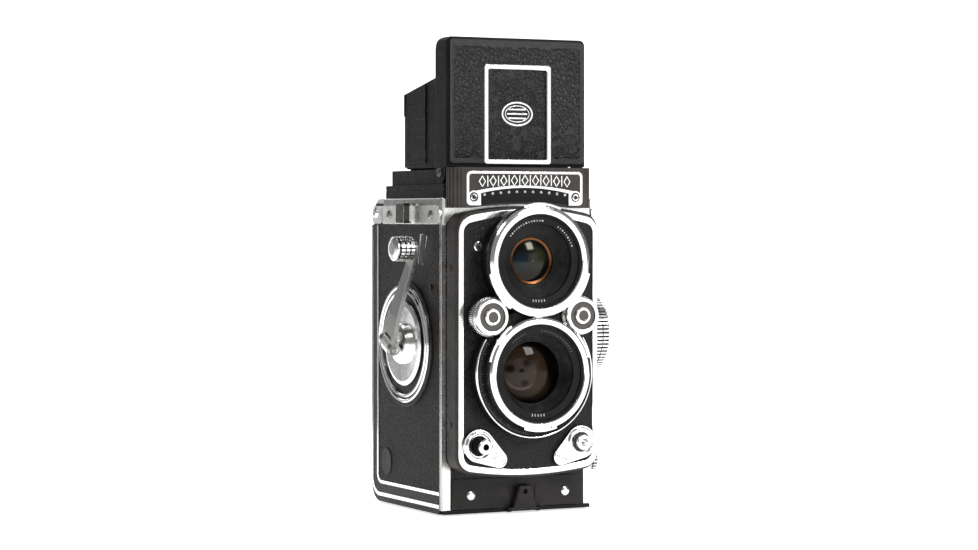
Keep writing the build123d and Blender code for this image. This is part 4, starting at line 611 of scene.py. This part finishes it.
# inner parts seen through the glass, painted with their reflection and shade: brown disc, ripples at its
# lower right, the blade ring and its dark holes, two ring edges as painted highlights
take_glass.patch(-3.4, 0.2, 13.2, 1.12, (0.019, 0.0105, 0.006), 0.82)
_, _, ring_r = take_glass.offset(-3.6, 0.4)
ripple_wave = take_glass.math("SINE", take_glass.math("MULTIPLY", ring_r, 8.5))
ripple = take_glass.math("MULTIPLY_ADD", ripple_wave, 0.5, 0.5, clamp=True)
_, _, low_right_r = take_glass.offset(2.5, -5.5)
low_right = take_glass.ramp(take_glass.math("DIVIDE", low_right_r, 9.0), ((0.3, 1.0), (1.0, 0.0)))
take_glass.lay(take_glass.math("MULTIPLY", ripple, low_right), (0.034, 0.021, 0.012))
take_glass.patch(-5.6, 0.2, 8.2, 1.05, (0.036, 0.026, 0.020), 0.9)
for x, z, size, stretch, shade in ((-2.4, 4.6, 2.6, 0.7, (0.008, 0.005, 0.004)),
                                   (-10.8, 2.0, 3.0, 0.9, (0.004, 0.003, 0.003)),
                                   (-4.0, -4.6, 2.2, 0.8, (0.006, 0.004, 0.003)),
                                   (-5.6, 1.0, 1.5, 0.8, (0.005, 0.004, 0.003))):
    take_glass.patch(x, z, size, stretch, shade)
# painted highlights on the lower and upper ring edges
take_glass.highlight_crescent(-5.4, 0.3, 7.6, 0.9, 262, (0.09, 0.07, 0.055))
take_glass.highlight_crescent(-5.2, 0.5, 6.9, 0.8, 85, (0.010, 0.006, 0.004))
dress("viewing_lens", view_glass.mat)
dress("taking_lens", take_glass.mat)

clear = Look("magnifier_glass", (0.95, 0.97, 0.96), 0.0, 0.02, 1.5, 0.5)
clear.bsdf.inputs["Transmission Weight"].default_value = 1.0
clear.roughen(clear.noise(0.004, 2.0), 0.01, 0.04)
dress("magnifier_lens", clear.mat)

BARREL_TIP = front("lens_barrels") + 0.05
RING_FACE = -58.6


def ribbed_barrel(name, z, inner, glass_r, tube_r, ribs):
    """Lens barrel whose front cone is cut with fine anti-glare steps."""
    shoulder, foot, body_r = -57.35, -48.6, 23.85
    ring_in = inner - 4.6
    profile = [(foot, body_r), (shoulder, body_r), (shoulder, inner - 0.12), (BARREL_TIP, inner - 0.12),
               (BARREL_TIP, inner - 0.9), (-59.2, inner - 1.2), (-58.9, ring_in + 0.2), (RING_FACE, ring_in)]
    cone_front, cone_back = -58.0, -52.2
    r = ring_in - 0.1
    dy, dr = (cone_back - cone_front) / ribs, (glass_r + 0.5 - r) / ribs
    for i in range(ribs):
        profile += [(cone_front + dy * i, r + dr * i), (cone_front + dy * (i + 0.75), r + dr * (i + 0.05)),
                    (cone_front + dy * (i + 0.9), r + dr * (i + 0.9))]
    tube_end, tube_wall = -34.3, 0.9
    tube_out = tube_r - 0.05
    profile += [(cone_back + 0.1, glass_r + 0.25), (foot, glass_r + 0.25), (foot, tube_out - tube_wall),
                (tube_end, tube_out - tube_wall), (tube_end, tube_out), (foot + 0.1, tube_out)]
    return lathe(name, profile, 0, z, anodised, "front_standard")


barrels = ribbed_barrel("viewing_barrel_ribbed", VIEW_Z, 21.2, 10.6, 12.5, 12)
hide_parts("lens_barrels")
ribbed_barrel("taking_barrel_ribbed", TAKE_Z, 22.2, 13.8, 15.0, 16)

# amber-coated edge of the element inside the viewing lens
amber = Look("amber_edge", (0.12, 0.05, 0.02), 1.0, 0.3)
amber.paint(amber.mix(amber.noise(0.003, 3.0), (0.10, 0.04, 0.016), (0.15, 0.065, 0.028)))
amber.roughen(amber.noise(0.002, 3.0), 0.24, 0.34)
edge_profile = [(-50.98, 9.5), (-51.05, 9.45), (-51.48, 10.5), (-51.0, 10.55)]
lathe("viewing_element_edge", edge_profile, 0, VIEW_Z, amber.mat, "front_standard", 96)

# ------------------------------------------------------------------ engraved marks
MARK_BACK, MARK_FRONT = RING_FACE - 0.1, RING_FACE - 0.46


def engrave(name, z, marks, mat, y_back=MARK_BACK, y_front=MARK_FRONT):
    """Strokes round a lens axis, moving with the front standard."""
    v, f = strokes(0, z, marks, y_back, y_front)
    add_mesh(name, v, f, mat, "front_standard")


def bars(inner_r, outer_r, first):
    """Five short bars at the foot of a lens ring."""
    return [(first + 4.5 * i, inner_r, outer_r, 0.42) for i in range(5)]


# two runs of strokes like worn lettering, every fourth taller, every third wider
ring_marks = []
pitch, inner_r = 4.4, 17.8
for start, stop in ((22, 64), (84, 150)):
    for i in range(int((stop - start) / pitch)):
        tall = 1.6 if i % 4 else 2.1
        ring_marks.append((start + pitch * i, inner_r, inner_r + tall, 0.42 if i % 3 else 0.75))
engrave("viewing_ring_marks", VIEW_Z, ring_marks + bars(17.4, 19.3, 261), ink.mat)
ring_marks = [(30 + 4.2 * i, 18.9, 20.4 + (0.4 if i % 4 == 0 else 0), 0.40) for i in range(14)]
ring_marks += [(112 + 3.4 * i, 18.9, 20.2, 0.30) for i in range(7)]
engrave("taking_ring_marks", TAKE_Z, ring_marks, faint_ink.mat)
engrave("taking_ring_bars", TAKE_Z, bars(18.3, 20.2, 260), ink.mat)

# bright rim round the scale, and its graduations
SCALE_START = 150.0
rim_profile = [(-54.8, 28.75), (-55.4, 28.75), (-55.5, 28.95), (-55.45, 29.3), (-55.0, 29.45), (-54.0, 29.45)]
lathe("scale_rim", rim_profile, 0, TAKE_Z, lens_chrome, "front_standard", steps=120,
      start=SCALE_START - 2.4, sweep=244.8)
scale_marks = []
for i in range(58):
    scale_marks.append((SCALE_START + 2.0 * i, 26.9 if i % 5 else 26.2, 28.0, 0.2))
engrave("scale_ring_marks", TAKE_Z, scale_marks, faint_ink.mat, -54.85, -54.98)

# bright end of the release button, dark well of the flash socket
button_x, _, button_z = middle("release_button")
end_profile = [(-57.4, 3.34), (-57.85, 3.34), (-58.24, 2.92), (-58.24, 1.5), (-58.0, 1.5), (-57.4, 3.2)]
lathe("release_end", end_profile, button_x, button_z, satin_body, "shutter_release", 48)
socket_x, _, socket_z = middle("sync_socket")
well_profile = [(-51.62, 3.52), (-51.66, 3.52), (-51.66, 4.28), (-51.62, 4.28)]
lathe("socket_well", well_profile, socket_x, socket_z, dark_ink.mat, "front_standard", 48)

# one index dot on each bezel: lens axis, angle, distance from the axis, depth behind the bezels' front
BEZEL_FRONT = front("lens_bezels")
DOT_R = 0.42
shapes = []
for lens_z, angle, r, sunk in ((VIEW_Z, 72, 23.95, 0.02), (TAKE_Z, 283, 24.8, 0.15)):
    a = math.radians(angle)
    x, z = r * math.cos(a), lens_z + r * math.sin(a)
    shapes.append(slab(arc_points(x, z, DOT_R, 0, 330, 11), BEZEL_FRONT + 0.7, BEZEL_FRONT + sunk, 0.05))
v, f = gather(shapes)
add_mesh("bezel_index_dots", v, f, dark_ink.mat, "front_standard")

# ------------------------------------------------------------------ nameplate ornament, beads and badge
NAMEPLATE_FRONT = front("nameplate_block")
ORNAMENT_Y = (NAMEPLATE_FRONT + 0.05, NAMEPLATE_FRONT - 0.32)
LOZENGES, LOZENGE_PITCH = 9, 5.4
LOZENGE_HALF_WIDTH, LOZENGE_HALF_HEIGHT, LINE = 1.85, 2.75, 0.45
BAR_HALF_WIDTH, BAR_HALF_HEIGHT = 0.3, 2.4


def lozenge(x, z, half_w, half_h):
    """Corners of a lozenge."""
    return [(x - half_w, z), (x, z - half_h), (x + half_w, z), (x, z + half_h)]


def rectangle(x, z, half_w, half_h):
    """Corners of an upright rectangle."""
    left, right, low, high = x - half_w, x + half_w, z - half_h, z + half_h
    return [(left, low), (right, low), (right, high), (left, high)]


# a row of open lozenges with a bar between each two, sagging slightly towards its ends
shapes = []
for i in range(LOZENGES):
    x = LOZENGE_PITCH * (i - (LOZENGES - 1) / 2)
    z = 151.6 - 0.0011 * x * x
    outer = lozenge(x, z, LOZENGE_HALF_WIDTH, LOZENGE_HALF_HEIGHT)
    inner = lozenge(x, z, LOZENGE_HALF_WIDTH - LINE * 1.35, LOZENGE_HALF_HEIGHT - LINE * 1.8)
    for k in range(4):
        m = (k + 1) % 4
        shapes.append(slab([outer[k], outer[m], inner[m], inner[k]], *ORNAMENT_Y))
    if i < LOZENGES - 1:
        shapes.append(slab(rectangle(x + LOZENGE_PITCH / 2, z, BAR_HALF_WIDTH, BAR_HALF_HEIGHT), *ORNAMENT_Y))
v, f = gather(shapes)
add_mesh("nameplate_ornament", v, f, bright, "camera_body")


def beads(name, centres, radius, y, mat, body):
    """Domed beads facing the front."""
    dome = radius * 0.7
    shapes = []
    for x, z in centres:
        verts, faces = [], []
        rows, cols = 5, 16
        for k in range(rows):
            lift = math.radians(90 * k / rows)
            for c in range(cols):
                turn = 2 * math.pi * c / cols
                reach = radius * math.cos(lift)
                verts.append((x + reach * math.cos(turn), y - dome * math.sin(lift),
                              z + reach * math.sin(turn)))
        verts.append((x, y - dome, z))
        for k in range(rows - 1):
            for c in range(cols):
                d = (c + 1) % cols
                faces.append((k * cols + c, k * cols + d, (k + 1) * cols + d, (k + 1) * cols + c))
        last = (rows - 1) * cols
        faces += [(last + c, last + (c + 1) % cols, rows * cols) for c in range(cols)]
        faces.append(tuple(range(cols - 1, -1, -1)))
        shapes.append((verts, faces))
    v, f = gather(shapes)
    return add_mesh(name, v, f, mat, body)


pearl = Look("bead_pearl", (0.55, 0.54, 0.52), 0.3, 0.25)
pearl.paint(pearl.mix(pearl.noise(0.0007, 2.0), (0.42, 0.41, 0.40), (0.75, 0.74, 0.72)))
pearl.roughen(pearl.noise(0.001, 2.0), 0.2, 0.35)
BEAD_PITCH, BEADS_Z, BEAD_R = 4.1, 146.4, 0.72
row = [(BEAD_PITCH * i, BEADS_Z - 0.0032 * (BEAD_PITCH * i) ** 2) for i in range(-5, 6)]
beads("meter_beads", row, BEAD_R, NAMEPLATE_FRONT - 0.2, pearl.mat, "camera_body")


def ellipse(cz, a, b, n=48):
    """Points of an ellipse centred on X = 0."""
    turns = [2 * math.pi * i / n for i in range(n)]
    return [(a * math.cos(turn), cz + b * math.sin(turn)) for turn in turns]


def band(outer, inner, y_back, y_front):
    """Flat ring between two outlines with the same number of points."""
    n = len(outer)
    verts = [(x, y_back, z) for x, z in outer] + [(x, y_back, z) for x, z in inner]
    verts += [(x, y_front, z) for x, z in outer] + [(x, y_front, z) for x, z in inner]
    faces = []
    for i in range(n):
        j = (i + 1) % n
        faces += [(2 * n + i, 3 * n + i, 3 * n + j, 2 * n + j), (i, j, n + j, n + i),
                  (i, 2 * n + i, 2 * n + j, j), (n + i, n + j, 3 * n + j, 3 * n + i)]
    return verts, faces


# an oval of two lines with three bars across it
FLAP_FRONT = front("sports_flap")
BADGE_Z = 182.0
OVAL_A, OVAL_B = 5.9, 3.5
shapes = [band(ellipse(BADGE_Z, 8.0, 5.6), ellipse(BADGE_Z, 7.2, 4.8), FLAP_FRONT, FLAP_FRONT - 0.65),
          band(ellipse(BADGE_Z, OVAL_A + 0.4, OVAL_B + 0.4), ellipse(BADGE_Z, OVAL_A, OVAL_B),
               FLAP_FRONT, FLAP_FRONT - 0.6)]
for dz in (-2.0, 0.0, 2.0):
    half = 5.2 * math.sqrt(1 - (dz / 3.9) ** 2)
    shapes.append(slab(rectangle(0, BADGE_Z + dz, half, 0.32), FLAP_FRONT, FLAP_FRONT - 0.55))
v, f = gather(shapes)
add_mesh("finder_badge", v, f, bright, "sports_finder")

# ------------------------------------------------------------------ focusing scale on the knob side
_, DIAL_Y, DIAL_Z = middle("focus_knob")
PLATE_FACE = far_side("focus_scale_plate")
MARKS = 40
shapes = []
for i in range(MARKS):
    r0, r1, width = (18.3 if i % 4 else 18.1), 19.2, 0.22
    a = math.radians(360 / MARKS * i)
    out, side = Vector((math.cos(a), math.sin(a))), Vector((-math.sin(a), math.cos(a))) * width / 2
    quad = [out * r0 - side, out * r1 - side, out * r1 + side, out * r0 + side]
    ring = []
    for x in (PLATE_FACE - 0.05, PLATE_FACE + 0.06):
        ring += [(x, DIAL_Y + c.x, DIAL_Z + c.y) for c in quad]
    sides = [(k, (k + 1) % 4, (k + 1) % 4 + 4, k + 4) for k in range(4)]
    shapes.append((ring, [(3, 2, 1, 0), (4, 5, 6, 7)] + sides))
v, f = gather(shapes)
add_mesh("focus_scale_marks", v, f, dark_ink.mat, "camera_body")

# ------------------------------------------------------------------ set, lights and camera
paper = Look("studio_paper", (0.9, 0.9, 0.9), 0.0, 0.9, 1.5, 0.1)
paper.bsdf.inputs["Emission Color"].default_value = (1, 1, 1, 1)
PAPER_GLOW = 0.72
paper.bsdf.inputs["Emission Strength"].default_value = PAPER_GLOW
paper.paint(paper.mix(paper.noise(0.5, 2.0), (0.90, 0.90, 0.90), (0.93, 0.93, 0.93)))
# floor, quarter round and wall, in metres, the wall square to the view
CURVE_START, CURVE_R, CURVE_STEPS = 2.2, 1.2, 24
FLOOR_START, WALL_TOP, HALF_WIDTH = -4.0, 4.0, 5.0
path = [(FLOOR_START, 0.0)]
for i in range(CURVE_STEPS + 1):
    angle = math.radians(90 * i / CURVE_STEPS)
    path.append((CURVE_START + CURVE_R * math.sin(angle), CURVE_R - CURVE_R * math.cos(angle)))
path.append((CURVE_START + CURVE_R, WALL_TOP))
back = Vector((0.445, 0.895, 0))
across = Vector((back.y, -back.x, 0))
verts = []
for along, up in path:
    for sideways in (-HALF_WIDTH, HALF_WIDTH):
        verts.append(back * along + across * sideways + Vector((0, 0, up)))
faces = [(2 * i, 2 * i + 1, 2 * i + 3, 2 * i + 2) for i in range(len(path) - 1)]
mesh = bpy.data.meshes.new("studio_sweep")
mesh.from_pydata(verts, [], faces)
mesh.materials.append(paper.mat)
mesh.shade_smooth()
floor = bpy.data.objects.new("studio_sweep", mesh)
bpy.context.scene.collection.objects.link(floor)


def flag(name, start, stop, height, low, high):
    """Standing card seen only in reflections, its brightness falling from the floor upwards."""
    look = Look(name, (0.02, 0.02, 0.02), 0.0, 0.9, 1.5, 0.0)
    glow = look.ramp(look.math("DIVIDE", look.axis("Z"), height), ((0.0, low), (0.7, high)))
    look.link(glow, look.bsdf.inputs["Emission Color"])
    look.bsdf.inputs["Emission Strength"].default_value = 1.0
    card = bpy.data.meshes.new(name)
    card.from_pydata([(*start, 0), (*stop, 0), (*stop, height), (*start, height)], [], [(0, 1, 2, 3)])
    card.materials.append(look.mat)
    stand = bpy.data.objects.new(name, card)
    bpy.context.scene.collection.objects.link(stand)
    stand.visible_camera = False
    stand.visible_shadow = False


flag("left_flag", (-0.17, 0.40), (-1.0, 0.75), 0.7, 0.36, 0.04)
flag("right_flag", (0.85, 0.25), (1.1, -0.6), 0.6, 0.20, 0.06)

world = bpy.data.worlds.new("studio")
bpy.context.scene.world = world
world.use_nodes = True
AMBIENT = 0.22
background = world.node_tree.nodes["Background"]
background.inputs["Color"].default_value = (1, 1, 1, 1)
background.inputs["Strength"].default_value = AMBIENT


def area_light(name, place, target, size, power):
    """Square soft light with a side of this size in metres, turned to its target."""
    light = bpy.data.lights.new(name, "AREA")
    light.shape = "RECTANGLE"
    light.size = size
    light.size_y = size
    light.energy = power
    holder = bpy.data.objects.new(name, light)
    holder.location = place
    holder.rotation_euler = (Vector(target) - Vector(place)).to_track_quat("-Z", "Y").to_euler()
    bpy.context.scene.collection.objects.link(holder)


centre = (0, 0, 0.1)
area_light("front_card", (0.95, -1.75, 0.22), centre, 0.8, 2.1)
area_light("soft_box", (0.59, -1.26, 0.90), centre, 0.4, 12)
area_light("key_left", (-1.0, -1.3, 1.5), centre, 0.5, 6)
area_light("top", (0.1, 0.3, 1.7), centre, 1.0, 9)
area_light("back_left_card", (-1.2, 1.9, 0.1), centre, 1.0, 1.2)
area_light("paper_wash", (0.4, 1.0, 2.4), (1.1, 2.6, 0.3), 2.5, 30)

SENSOR, LENS = 36, 96.34
VIEW_TURN = math.radians(-26.45)
VIEW_DISTANCE, VIEW_HEIGHT = 1.22854, 0.13439
eye = bpy.data.cameras.new("view")
eye.sensor_width = SENSOR
eye.lens = LENS
eye.shift_x = 0.0089
eye.shift_y = -0.0580
eye.clip_start = 0.05
viewer = bpy.data.objects.new("view", eye)
viewer.location = (math.sin(VIEW_TURN) * VIEW_DISTANCE, -math.cos(VIEW_TURN) * VIEW_DISTANCE, VIEW_HEIGHT)
viewer.rotation_euler = (math.radians(90), 0, VIEW_TURN)
bpy.context.scene.collection.objects.link(viewer)
bpy.context.scene.camera = viewer
bpy.context.scene.view_settings.view_transform = "Standard"
